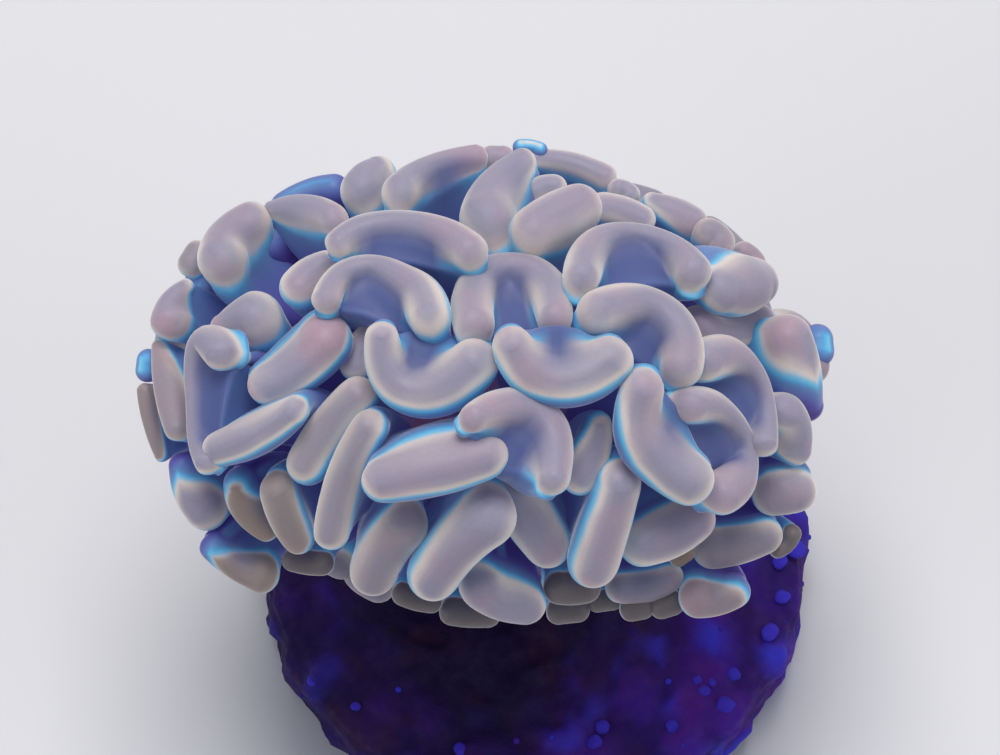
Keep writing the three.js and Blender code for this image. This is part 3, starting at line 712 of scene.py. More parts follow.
def make_crust():
    """Coralline crust: dark violet painted shade, brighter where one side is painted as lit, with blue
    growing edges and knobs.
    """
    material, tree, shader = new_material("crust")
    place = object_place(tree)
    tone = map_range(tree, attribute(tree, "lobe"), 0, 1, *LOBE_TONE)
    # Painted light and shade: the stored mask lights the crust's colour on one side and leaves it shaded
    # elsewhere
    painted_light = math_node(tree, "MULTIPLY", attribute(tree, "painted_light"), tone)
    colour = mix_colours(tree, painted_light, CRUST_PAINTED_SHADE, CRUST_PAINTED_LIGHT)
    pinker = map_range(tree, noise_node(tree, place, PINK_SCALE, detail=4.0), *PINK_EDGE)
    colour = mix_colours(tree, math_node(tree, "MULTIPLY", pinker, painted_light), colour, CRUST_PINK)
    crest = math_node(tree, "MULTIPLY", attribute(tree, "crest"), attribute(tree, "painted_light"))
    colour = mix_colours(tree, crest, colour, CRUST_BLUE)
    stain = noise_node(tree, place, DULL_SCALE, detail=3.0)
    stain = map_range(tree, stain, *DULL_EDGE, 0.0, DULL_MOST)
    dull = math_node(tree, "MULTIPLY", stain, math_node(tree, "SUBTRACT", 1.0, painted_light))
    colour = mix_colours(tree, dull, colour, CRUST_DULL)
    tree.links.new(colour, shader.inputs["Base Color"])
    vary_roughness(tree, shader, noise_node(tree, place, CHALK_SCALE, detail=3.0), *CHALK)
    grain = noise_node(tree, place, CRUST_GRAIN_SCALE, detail=5.0, roughness=GRAIN_HARSHNESS)
    add_bump(tree, shader, grain, CRUST_GRAIN_STRENGTH, CRUST_GRAIN_DEPTH * MM)
    shader.inputs["Specular IOR Level"].default_value = CRUST_SHINE
    return material


# Tentacles


def make_skin_tree():
    """Smooth skin over a cage, a little lumpy."""
    sockets = {
        "Level": "NodeSocketInt",
        "Lump Size": "NodeSocketFloat",
        "Lump Height": "NodeSocketFloat",
        "Material": "NodeSocketMaterial",
    }
    tree, given = new_shape_tree("tentacle_skin", sockets)
    inputs = {"Mesh": given["Mesh"], "Level": given["Level"]}
    smooth = add_node(tree, "GeometryNodeSubdivisionSurface", inputs)
    place = add_node(tree, "GeometryNodeInputPosition").outputs[0]
    scale = math_node(tree, "DIVIDE", 1.0, given["Lump Size"])
    lumps = math_node(tree, "SUBTRACT", noise_node(tree, place, scale, detail=1.0), 0.5)
    skin = push_out(tree, smooth.outputs[0], math_node(tree, "MULTIPLY", lumps, given["Lump Height"]))
    close_shape_tree(tree, skin, given["Material"])
    return tree


def ring_numbers(root):
    """How many edges each point of a solid lies from its root."""
    numbers = {root: 0}
    layer = [root]
    while layer:
        beyond = []
        for point in layer:
            for edge in point.link_edges:
                other = edge.other_vert(point)
                if other not in numbers:
                    numbers[other] = numbers[point] + 1
                    beyond.append(other)
        layer = beyond
    return numbers


def top_row(shape, numbers):
    """The top section's points in order, from one end of the tip, around and back to it."""
    top = [point for point in shape.verts if numbers[point] == SOLID_RINGS]
    rim = [
        edge
        for edge in shape.edges
        if all(numbers[point] == SOLID_RINGS for point in edge.verts)
        and any(numbers[point] < SOLID_RINGS for face in edge.link_faces for point in face.verts)
    ]
    row = [min(top, key=lambda point: len(point.link_edges))]
    while len(row) < len(top):
        steps = [edge.other_vert(row[-1]) for edge in rim if row[-1] in edge.verts]
        row.append(next(point for point in steps if point not in row))
    return row


def widest_section(name):
    """A tentacle's root and the points of its widest section in order, in millimetres, from its solid."""
    shape = bmesh.new()
    shape.from_mesh(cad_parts[name].data)
    bmesh.ops.remove_doubles(shape, verts=shape.verts, dist=WELD * MM)
    root = next(point for point in shape.verts if len(point.link_edges) == SOLID_SIDES)
    numbers = ring_numbers(root)
    row = top_row(shape, numbers)
    diagonals = set()
    for face in shape.faces:
        high = max(numbers[point] for point in face.verts)
        upper = [loop for loop in face.loops if numbers[loop.vert] == high]
        if len(upper) == 1:
            diagonals.add(upper[0].edge)
    bmesh.ops.dissolve_edges(shape, edges=list(diagonals), use_verts=False)
    for number in range(SOLID_RINGS - 1, SOLID_BEAD - 1, -1):
        steps = [[edge.other_vert(point) for edge in point.link_edges] for point in row]
        row = [next(other for other in others if numbers[other] == number) for others in steps]
    section = np.array([point.co for point in row]) / MM
    start = np.array(root.co) / MM
    shape.free()
    return start, section


def unit(vector):
    """A vector of length one."""
    return vector / np.linalg.norm(vector)


def tip_of_solid(name):
    """Measures of a tentacle, read from its solid: its root, its spine with a radius at each place, and
    which way its tip points."""
    root, bead = widest_section(name)
    half = SOLID_SIDES // 2
    quarter = SOLID_SIDES // 4
    out = unit(np.cross(bead[0] - bead[half], bead[quarter] - bead[-quarter]))
    if out @ (bead.mean(0) - root) < 0:
        out = -out
    spine = []
    for place, low, high in ((0, -1, 1), (half, half - 1, half + 1)):
        radius = np.linalg.norm(bead[low] - bead[high]) / 2 / SOLID_SHOULDER
        spine.append([*(bead[low] + bead[high] - bead[place]), radius])
    radius = np.linalg.norm(bead[quarter] - bead[-quarter]) / 2
    spine.insert(1, [*(bead[quarter] + bead[-quarter]) / 2, radius])
    return {"root": root, "spine": np.array(spine), "out": out}


def follow_view(tip, measured):
    """Gives a tip the spine that was measured in the view, at the depth and slope of its solid."""
    aim, right, up, toward = (np.array(row) for row in (VIEW_AIM, VIEW_RIGHT, VIEW_UP, VIEW_TOWARD))
    middle = tip["spine"][1, :3] + toward * tip["lift"]
    depth = (middle - aim) @ toward
    facing = max(tip["out"] @ toward, STEEPEST_TIP)
    spine = []
    for across, down, radius in measured:
        spread = (1 - depth / VIEW_DISTANCE) / STEPS_IN_MM
        flat = (right * (across - VIEW_MIDDLE[0]) + up * (VIEW_MIDDLE[1] - down)) * spread
        place = aim + flat + toward * depth
        slope = (place - middle) @ tip["out"] / facing
        spine.append([*(place - toward * slope), radius * spread])
    return {**tip, "spine": np.array(spine)}


def curve_through(points, shares):
    """Places on a smooth curve through points, at shares of its length."""
    steps = np.linalg.norm(np.diff(points[:, :3], axis=0), axis=1)
    knots = np.concatenate([[0], np.cumsum(steps)]) / steps.sum()
    slopes = np.gradient(points, knots, axis=0, edge_order=2)
    after = np.clip(np.searchsorted(knots, shares), 1, len(knots) - 1)
    gap = (knots[after] - knots[after - 1])[:, None]
    step = ((shares - knots[after - 1]) / gap[:, 0])[:, None]
    start = points[after - 1] * (1 + 2 * step) + slopes[after - 1] * gap * step
    end = points[after] * (3 - 2 * step) + slopes[after] * gap * (step - 1)
    return start * (1 - step) ** 2 + end * step**2


def spine_of(tip):
    """Places along a tip's spine, which way the outline lies from each, the radius there, and how far each
    place stands off the line between the spine's ends."""
    shares = (1 - SPINE) / 2
    places = curve_through(tip["spine"], shares)
    ahead = curve_through(tip["spine"], np.clip(shares - CURVE_STEP, 0, 1))
    behind = curve_through(tip["spine"], np.clip(shares + CURVE_STEP, 0, 1))
    directions = (ahead - behind)[:, :3]
    directions /= np.linalg.norm(directions, axis=1)[:, None]
    across = np.cross(tip["out"], directions)
    across /= np.linalg.norm(across, axis=1)[:, None]
    sides = directions * PAST[:, None] + across * SIDE[:, None]
    first = tip["spine"][0, :3]
    chord = unit(tip["spine"][-1, :3] - first)
    offsets = places[:, :3] - first
    offsets -= np.outer(offsets @ chord, chord)
    return places[:, :3], sides, places[:, 3], offsets


def tip_ring(tip, spine, section):
    """One section of a tip, with its hollow side filled as far as the section says."""
    places, sides, radius, offsets = spine
    ring = places + sides * (radius * section["thick"])[:, None]
    ring += np.outer(radius * section["height"], tip["out"])
    hollow = np.sum(sides * offsets, axis=1) < 0
    web = offsets + unit(offsets.sum(0)) * (1 - SPINE**2)[:, None] * tip.get("web", 0.0)
    return ring - web * (hollow * section["fill"])[:, None]


def stalk_ring(tip, line, section):
    """One section of a stalk, square to the line that it follows."""
    here = np.array(bezier(line, section["along"]))
    ahead = unit(np.array(bezier(line, section["along"] + CURVE_STEP)) - here)
    along = (tip["spine"][0, :3] - tip["spine"][-1, :3]) / 2
    along = unit(along - ahead * (along @ ahead)) * np.linalg.norm(along)
    thick = tip["spine"][:, 3].mean() * section["thick"]
    ring = here + np.outer(SPINE * section["length"], along) + np.outer(PAST * thick, unit(along))
    return ring + np.outer(SIDE * thick, unit(np.cross(ahead, along)))


def tentacle_rings(tip, spine):
    """All sections of a tentacle from its root up."""
    out = Vector(tip["out"])
    root = Vector(tip["root"])
    centre = tip["spine"].mean(0)
    neck = Vector(centre[:3]) - out * centre[3] * NECK_DEPTH
    ease = (neck - root).length * STALK_EASE
    rising = over(root - POLYP_CENTRE, ROOT_HALF).normalized()
    line = [root, root + rising * ease, neck - out * ease, neck]
    rings = [stalk_ring(tip, line, section) for section in STALK_SECTIONS]
    rings += [tip_ring(tip, spine, section) for section in TIP_SECTIONS]
    return np.array(rings)


def cap_reach(tip, spine, rings):
    """How far up its tentacle each point counts for colour: less on its side in painted shade and on its
    faded side.
    """
    levels = [section["reach"] for section in STALK_SECTIONS + TIP_SECTIONS]
    reach = np.repeat(levels, len(OUTLINE)).reshape(len(levels), -1)
    near_edge = np.clip(1 - np.abs(reach - CAP_EDGE) / SHADED_SIDE_WIDTH, 0, 1)
    middle = tip["spine"][:, :3].mean(0)
    inward = (np.array(CROWN_CENTRE) - middle) / TIP_HALF.y
    inward /= max(1.0, np.linalg.norm(inward))
    # Painted shade: the side facing down the view and into the crown is bluer
    shaded_side = spine[1] @ (inward * SHADED_SIDE_INWARD - np.array(VIEW_UP) * SHADED_SIDE_DOWN)
    near_turn = np.clip(1 - np.abs(reach - CAP_EDGE) / TURN_WIDTH, 0, 1)
    turned = CAP_TURN * np.clip(spine[1] @ np.array(VIEW_TOWARD), TURN_LEAST, 1)
    reach = reach - near_edge * SHADED_SIDE_BLUE * np.clip(shaded_side, SHADED_SIDE_LEAST, 1) + near_turn * turned
    reach -= tip.get("bare", 0.0) * (reach > FADING_REACH)
    if "fade" in tip:
        angle, depth = tip["fade"]
        turn = math.radians(angle)
        side = np.array(VIEW_RIGHT * math.cos(turn) + VIEW_UP * math.sin(turn))
        places = (rings - middle) @ side
        furthest = places[len(STALK_SECTIONS) :].max()
        start = tip["fade_start"]
        share = np.clip((places / furthest - start) / (1 - start), 0, 1)
        reach -= depth * share**FADE_POWER * (reach > FADING_REACH)
    return [0.0, *reach.ravel()]


def hollow_share(spine):
    """How blue each point is for lying on the hollow side of a bent tip."""
    _, sides, radius, offsets = spine
    share = np.clip(-np.sum(sides * offsets, axis=1) / radius, 0, 1)
    levels = [section.get("blue", 0.0) for section in STALK_SECTIONS + TIP_SECTIONS]
    return [0.0, *np.outer(levels, share).ravel()]


def tint_cage(tip, draw):
    """A cage with what its skin needs to know: how far up each point is, the tip's own tints, and its
    painted shade.
    """
    spine = spine_of(tip)
    rings = tentacle_rings(tip, spine)
    middle = tip["spine"][:, :3].mean(0)
    # Low tips take painted shade towards the crown's middle and turn tan towards its sides
    low = min(TAN_AND_SHADE_MOST, max(0.0, (CREAM_HEIGHT - middle[2]) / CREAM_FALL))
    outer = min(1.0, abs(middle[0] - CROWN_CENTRE.x) / TIP_HALF.x) ** 2
    count = rings.shape[0] * rings.shape[1] + 1
    ends = BLUSH_MIDDLE + (1 - BLUSH_MIDDLE) * np.abs(SPINE)
    blush = draw.uniform(*BLUSH_RANGE) * np.tile(ends, len(rings))
    return {
        "root": tip["root"] * MM,
        "rings": rings * MM,
        "reach": cap_reach(tip, spine, rings),
        "hollow": hollow_share(spine),
        "blush": [0.0, *blush],
        "painted_shade": [tip.get("painted_shade", low * (1 - outer))] * count,
        "tan": [tip.get("tan", low * outer)] * count,
    }


def skin_over_rings(shape, bottom, rings):
    """Adds a closed skin over rings of equal size. A strip from its first point to the one opposite closes
    the last ring."""
    lowest = shape.verts.new(bottom)
    loops = [[shape.verts.new(point) for point in ring] for ring in rings]
    sides = len(rings[0])
    for side in range(sides):
        after = (side + 1) % sides
        shape.faces.new((lowest, loops[0][after], loops[0][side]))
        for low, high in zip(loops, loops[1:]):
            shape.faces.new((low[side], low[after], high[after], high[side]))
    top = loops[-1]
    half = sides // 2
    shape.faces.new((top[0], top[1], top[-1]))
    for side in range(1, half - 1):
        shape.faces.new((top[side], top[side + 1], top[-side - 1], top[-side]))
    shape.faces.new((top[half - 1], top[half], top[half + 1]))


def mesh_of(shape, name):
    """Turns a shape into a mesh whose faces point outward."""
    bmesh.ops.recalc_face_normals(shape, faces=shape.faces)
    mesh = bpy.data.meshes.new(name)
    shape.to_mesh(mesh)
    shape.free()
    return mesh


def fit_cage(piece):
    """Moves the cage outward until its smooth skin nearly meets the corners that it started from."""
    corners = get_points(piece.data)
    skin = piece.modifiers.new("skin", "SUBSURF")
    skin.levels = 1
    skin.render_levels = 1
    for _ in range(CAGE_ROUNDS):
        graph = bpy.context.evaluated_depsgraph_get()
        reached = get_points(piece.evaluated_get(graph).data)[: len(corners)]
        moved = get_points(piece.data) + (corners - reached) * CAGE_SHARE
        piece.data.vertices.foreach_set("co", moved.ravel())
        piece.data.update()
    piece.modifiers.clear()


def make_flesh_piece(name, cages, level, skin, flesh):
    """One or more tentacles as a smooth piece."""
    shape = bmesh.new()
    for cage in cages:
        skin_over_rings(shape, cage["root"], cage["rings"])
    piece = new_piece(name, mesh_of(shape, name))
    for layer in ("reach", "hollow", "blush", "painted_shade", "tan"):
        set_floats(piece.data, layer, [number for cage in cages for number in cage[layer]])
    fit_cage(piece)
    values = {
        "Level": level,
        "Lump Size": LUMP_SIZE * MM,
        "Lump Height": LUMP_HEIGHT * MM,
        "Material": flesh,
    }
    apply_tree(piece, skin, values)
    return piece


def make_tentacles(skin, flesh):
    """One smooth tentacle for each of the solids."""
    draw = random.Random(TINT_SEED)
    for number in range(1, TENTACLE_NODES + 1):
        node = f"tentacle_{number:02d}"
        tip = {**tip_of_solid(node), "web": WEBS.get(number, 0.0), "lift": LIFTS.get(number, 0.0)}
        if number in FRONT_SPINES:
            tip = {**follow_view(tip, FRONT_SPINES[number]), "tan": TAN_TIPS.get(number, 0.0)}
        if number in CAP_FADES:
            tip = {**tip, "fade": CAP_FADES[number], "fade_start": FADE_STARTS.get(number, 0.0)}
        cage = tint_cage(tip, draw)
        piece = make_flesh_piece(f"{node}_flesh", [cage], SKIN_LEVEL, skin, flesh)
        settle_piece(piece, node)


def settle_piece(piece, node=None):
    """Tells the frame what a piece is."""
    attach(piece, "root")
    if node:
        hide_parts(node)


def times(first, second):
    """Two vectors multiplied place by place."""
    return Vector(a * b for a, b in zip(first, second))


def over(first, second):
    """Two vectors divided place by place."""
    return Vector(a / b for a, b in zip(first, second))


def dome_depth(right, up):
    """How far towards the viewer the dome of tips lies, or its outline where a place is past it."""
    to_up = over(VIEW_UP, TIP_HALF)
    to_viewer = over(VIEW_TOWARD, TIP_HALF)
    squared = to_viewer.length_squared
    half = up * to_up.dot(to_viewer)
    rest = up * up * to_up.length_squared + (right / TIP_HALF.x) ** 2 - 1
    return (math.sqrt(max(0.0, half * half - squared * rest)) - half) / squared


def on_dome(place, lift):
    """A measured place, brought onto the dome along its line of sight."""
    depth = 0.0
    for _ in range(SIGHT_PASSES):
        spread = 1 - depth / VIEW_DISTANCE
        right = place[0] * spread - CROWN_IN_VIEW[0]
        up = place[1] * spread - CROWN_IN_VIEW[1]
        depth = dome_depth(right, up) + lift
    return CROWN_CENTRE + VIEW_RIGHT * right + VIEW_UP * up + VIEW_TOWARD * depth


def dome_normal(place):
    """Outward direction of the dome at a place."""
    return over(over(place - CROWN_CENTRE, TIP_HALF), TIP_HALF).normalized()


def root_below(tip):
    """Where a tentacle leaves the polyp."""
    root = over(tip - CROWN_CENTRE, TIP_HALF)
    root.z = max(root.z, ROOT_LOWEST)
    return POLYP_CENTRE + times(root.normalized(), ROOT_HALF)


def bezier(points, share):
    """Place on a curve with four control points."""
    left = 1 - share
    weights = (left**3, 3 * left * left * share, 3 * left * share * share, share**3)
    return sum((point * weight for point, weight in zip(points, weights)), Vector())


def tip_between(centre, out, along, bend, radius):
    """Measures of a small tentacle from its middle, its half length, its bend and its radius."""
    spine = [[*place, radius] for place in (centre + along, centre + bend, centre - along)]
    return {"root": np.array(root_below(centre)), "spine": np.array(spine), "out": np.array(out)}


def small_tip(row):
    """A measured small tip, facing out of the dome and a little towards the viewer."""
    centre = on_dome(row["at"], row["lift"])
    out = (dome_normal(centre) + VIEW_TOWARD * SMALL_TIP_TURN).normalized()
    turn = math.radians(row["turn"])
    along = VIEW_RIGHT * math.cos(turn) + VIEW_UP * math.sin(turn)
    along = (along - out * along.dot(out)).normalized()
    bend = out.cross(along) * row["bend"]
    tip = tip_between(centre, out, along * row["half"], bend, row["radius"])
    tints = {key: row[key] for key in ("bare", "tan", "painted_shade") if key in row}
    return {**tip, **tints}


def hidden_tip(row, index, draw):
    """One tip of a hidden row, turned and shifted a little."""
    share = (index + draw.uniform(-HIDDEN_SHIFT, HIDDEN_SHIFT)) / (row["count"] - 1)
    azimuth = math.radians(row["start"] + row["sweep"] * share)
    elevation = math.radians(row["elevation"] + draw.uniform(-HIDDEN_TILT, HIDDEN_TILT))
    level = math.cos(elevation)
    direction = Vector((math.cos(azimuth) * level, math.sin(azimuth) * level, math.sin(elevation)))
    share = row["share"] + draw.uniform(-HIDDEN_SPREAD, HIDDEN_SPREAD)
    centre = CROWN_CENTRE + times(direction, TIP_HALF) * share
    out = dome_normal(centre)
    flat = Vector((0, 0, 1)).cross(out).normalized()
    along = Quaternion(out, math.radians(draw.uniform(-HIDDEN_TURN, HIDDEN_TURN))) @ flat
    bend = out.cross(along) * draw.uniform(*HIDDEN_BEND)
    half = row["half"] * draw.uniform(*HIDDEN_LENGTH)
    radius = row["radius"] * draw.uniform(*HIDDEN_THICK)
    return tip_between(centre, out, along * half, bend, radius)


def make_small_tentacles(name, tips, level, skin, flesh):
    """Several small tentacles as one piece."""
    draw = random.Random(SMALL_SEED)
    cages = [tint_cage(tip, draw) for tip in tips]
    piece = make_flesh_piece(name, cages, level, skin, flesh)
    settle_piece(piece)


# Polyp: ring sizes as shares of the cushion's half width, and heights, from its top over the stem's rim,
# down to the hem and up inside it
POLYP_SIDES = 48
POLYP_RINGS = [
    (0.10, 30.4),
    (0.28, 30.2),
    (0.58, 29.3),
    (0.83, 27.5),
    (0.98, 26.2),
    (1.00, 24.9),
    (0.97, 23.6),
    (0.96, 22.2),
    (0.93, 20.6),
    (0.87, 19.0),
    (0.80, 18.0),
    (0.74, 18.4),
    (0.70, 20.0),
    (0.40, 21.0),
]
POLYP_BOTTOM = 21.0
POLYP_LEVEL = 2
FOLD_COUNT = 22
FOLD_DEPTH = 0.22
FOLD_WANDER = 0.5
FOLD_WANDER_SCALE = 260.0
FOLD_LUMPS = 1.6
FOLD_LUMP_SCALE = 700.0


def make_fold_tree():
    """Smooth flesh with upright folds around an axis and soft lumps."""
    sockets = {
        "Folds": "NodeSocketFloat",
        "Fold Depth": "NodeSocketFloat",
        "Axis X": "NodeSocketFloat",
        "Axis Y": "NodeSocketFloat",
        "Material": "NodeSocketMaterial",
    }
    tree, given = new_shape_tree("folded_flesh", sockets)
    smooth = add_node(tree, "GeometryNodeSubdivisionSurface", {"Mesh": given["Mesh"], "Level": POLYP_LEVEL})
    place = add_node(tree, "GeometryNodeInputPosition").outputs[0]
    parts = add_node(tree, "ShaderNodeSeparateXYZ", {"Vector": place}).outputs
    right = math_node(tree, "SUBTRACT", parts["X"], given["Axis X"])
    back = math_node(tree, "SUBTRACT", parts["Y"], given["Axis Y"])
    angle = turn_about(tree, place, right, back, FOLD_WANDER_SCALE, FOLD_WANDER)
    folds = math_node(tree, "SINE", math_node(tree, "MULTIPLY", angle, given["Folds"]))
    lumps = centred(tree, noise_node(tree, place, FOLD_LUMP_SCALE), FOLD_LUMPS)
    height = math_node(tree, "MULTIPLY", math_node(tree, "ADD", folds, lumps), given["Fold Depth"])
    flesh = push_out(tree, smooth.outputs[0], height)
    close_shape_tree(tree, flesh, given["Material"])
    return tree


def oval_ring(centre, half, sides):
    """Points around an upright oval that is given in millimetres."""
    turns = [2 * math.pi * side / sides for side in range(sides)]
    offsets = [Vector((half[0] * math.cos(turn), half[1] * math.sin(turn), 0)) for turn in turns]
    return [(centre + offset) * MM for offset in offsets]


def make_polyp(material):
    """The fleshy cushion, with a mantle that hangs over the rim of the stem."""
    rings = []
    for share, height in reversed(POLYP_RINGS):
        centre = Vector((POLYP_CENTRE.x, POLYP_CENTRE.y, height))
        rings.append(oval_ring(centre, (ROOT_HALF.x * share, ROOT_HALF.y * share), POLYP_SIDES))
    bottom = Vector((POLYP_CENTRE.x, POLYP_CENTRE.y, POLYP_BOTTOM)) * MM
    shape = bmesh.new()
    skin_over_rings(shape, bottom, rings)
    piece = new_piece("polyp_flesh", mesh_of(shape, "polyp_flesh"))
    values = {
        "Folds": float(FOLD_COUNT),
        "Fold Depth": FOLD_DEPTH * MM,
        "Axis X": POLYP_CENTRE.x * MM,
        "Axis Y": POLYP_CENTRE.y * MM,
        "Material": material,
    }
    apply_tree(piece, make_fold_tree(), values)
    settle_piece(piece, "polyp")


# Stem: how far its middle leans at the foot, as a share of the lean at its rim, and its ribs
STEM_LEVEL = 4
STEM_FOOT_LEAN = 0.5
RIB_COUNT = 40
RIB_DEPTH = 0.2
RIB_WANDER = 0.16
RIB_WANDER_SCALE = 180.0
RIB_BLUNTNESS = 0.6
RIB_GRAIN_DEPTH = 0.1
RIB_GRAIN_SCALE = 1500.0


def make_rib_tree():
    """Upright ribs around a leaning stem, with a grainy face. Stores how high each point is on its rib."""
    sockets = {
        "Ribs": "NodeSocketFloat",
        "Rib Depth": "NodeSocketFloat",
        "Grain Depth": "NodeSocketFloat",
        "Foot Height": "NodeSocketFloat",
        "Rim Height": "NodeSocketFloat",
        "Rim X": "NodeSocketFloat",
        "Rim Y": "NodeSocketFloat",
        "Material": "NodeSocketMaterial",
    }
    tree, given = new_shape_tree("ribbed_stem", sockets)
    smooth = add_node(tree, "GeometryNodeSubdivisionSurface", {"Mesh": given["Mesh"], "Level": STEM_LEVEL})
    place = add_node(tree, "GeometryNodeInputPosition").outputs[0]
    parts = add_node(tree, "ShaderNodeSeparateXYZ", {"Vector": place}).outputs
    lean = {
        "Value": parts["Z"],
        "From Min": given["Foot Height"],
        "From Max": given["Rim Height"],
        "To Min": STEM_FOOT_LEAN,
        "To Max": 1.0,
    }
    share = add_node(tree, "ShaderNodeMapRange", lean).outputs[0]
    right = math_node(tree, "SUBTRACT", parts["X"], math_node(tree, "MULTIPLY", given["Rim X"], share))
    back = math_node(tree, "SUBTRACT", parts["Y"], math_node(tree, "MULTIPLY", given["Rim Y"], share))
    angle = turn_about(tree, place, right, back, RIB_WANDER_SCALE, RIB_WANDER)
    wave = math_node(tree, "COSINE", math_node(tree, "MULTIPLY", angle, given["Ribs"]))
    rib = math_node(tree, "MULTIPLY_ADD", wave, 0.5, 0.5)
    blunt = math_node(tree, "POWER", rib, RIB_BLUNTNESS)
    grain = math_node(tree, "SUBTRACT", noise_node(tree, place, RIB_GRAIN_SCALE, detail=3.0), 0.5)
    rough = math_node(tree, "MULTIPLY", grain, given["Grain Depth"])
    height = math_node(tree, "MULTIPLY_ADD", blunt, given["Rib Depth"], rough)
    ribbed = push_out(tree, store_number(tree, smooth.outputs[0], "rib", blunt), height)
    close_shape_tree(tree, ribbed, given["Material"])
    return tree


def make_stem(material):
    """The stony stem with its ribs."""
    shape = bmesh.new()
    shape.from_mesh(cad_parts["skeleton"].data)
    bmesh.ops.remove_doubles(shape, verts=shape.verts, dist=WELD * MM)
    mesh = bpy.data.meshes.new("skeleton_ribs")
    shape.to_mesh(mesh)
    shape.free()
    piece = new_piece("skeleton_ribs", mesh)
    low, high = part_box("skeleton")
    values = {
        "Ribs": float(RIB_COUNT),
        "Rib Depth": RIB_DEPTH * MM,
        "Grain Depth": RIB_GRAIN_DEPTH * MM,
        "Foot Height": low.z,
        "Rim Height": high.z,
        "Rim X": CROWN_CENTRE.x * MM,
        "Rim Y": CROWN_CENTRE.y * MM,
        "Material": material,
    }
    apply_tree(piece, make_rib_tree(), values)
    settle_piece(piece, "skeleton")


# Disc: rings of its underside, where its side starts, then the radius, height and steps of each stretch from
# there to the middle of the top
DISC_RADIUS = 14.15
DISC_BASE = [(4.5, 0.0), (9.0, 0.0)]
DISC_FOOT = (13.2, 0.0)
DISC_PROFILE = [
    (13.6, 0.0, 2),
    (14.0, 0.45, 2),
    (DISC_RADIUS, 1.2, 4),
    (DISC_RADIUS, 4.0, 14),
    (13.85, 4.6, 4),
    (13.2, 4.85, 4),
    (8.0, 4.9, 26),
    (0.6, 4.9, 24),
]
DISC_SIDES = 220
DISC_TOP = 5.1

# Where the crust is painted as lit rather than shaded: towards one side, a little at the back and around the
# rim
PAINTED_LIT_SIDE = (0.75, -0.65)
PAINTED_LIT_START = 5.0
PAINTED_LIT_WIDTH = 6.0
PAINTED_LIT_BACK_WIDTH = 14.0
PAINTED_LIT_BACK_MOST = 0.5
PAINTED_LIT_RIM_START = 9.0
PAINTED_LIT_RIM_WIDTH = 12.0
PAINTED_LIT_RIM_MOST = 0.25

# Relief of the crust: the height that it starts at and is full after, its roughness, how far its pattern is
# stirred, its mounded lobes, and its growing edges, which are broken in places
CRUST_FOOT = 0.5
CRUST_RISE = 1.0
CRUST_ROUGH = 0.5
ROUGH_SCALE = 1100.0
STIR_SCALE = 420.0
STIR_REACH = 2.4
LOBE_SIZE = 3.0
LOBE_HEIGHT = 0.5
LOBE_EDGE = (0.75, 0.1)
LOBE_SOFTNESS = 0.35
EDGE_SIZE = 5.5
EDGE_HEIGHT = 0.35
EDGE_SPAN = (0.13, 0.02)
EDGE_BREAKS = (0.42, 0.62)
BREAK_SCALE = 300.0

# Small knobs, which keep to the rim where the crust is painted as lit
KNOB_COUNT = 90
KNOB_RADIUS = (0.08, 0.22)
KNOB_HEIGHT = 0.75
KNOB_START = 6.5
KNOB_WIDTH = 5.0
KNOB_LEAST = 0.05
KNOB_TONE = (0.25, 1.0)
KNOB_TONE_EDGE = (0.4, 0.6)
KNOB_TONE_SCALE = 240.0
KNOB_LOBE = 0.7
KNOB_ROUNDNESS = 2

# Larger knobs, measured in the view: across, down and radius
LARGE_KNOBS = [
    (727, 706, 8),
    (733, 674, 6),
    (713, 681, 5),
    (697, 680, 4),
    (704, 691, 5),
    (769, 632, 7),
    (783, 597, 6),
    (795, 549, 8),
    (780, 562, 6),
    (672, 727, 5),
    (602, 727, 6),
    (594, 743, 7),
    (461, 750, 6),
    (313, 681, 5),
    (356, 707, 4),
]
KNOB_FLATNESS = 0.5
KNOB_BLUE = 0.7
KNOB_SPREAD = 1.25
KNOB_LUMPS = 0.35
KNOB_LUMP_PITCH = 0.8
LARGE_KNOB_ROUNDNESS = 3


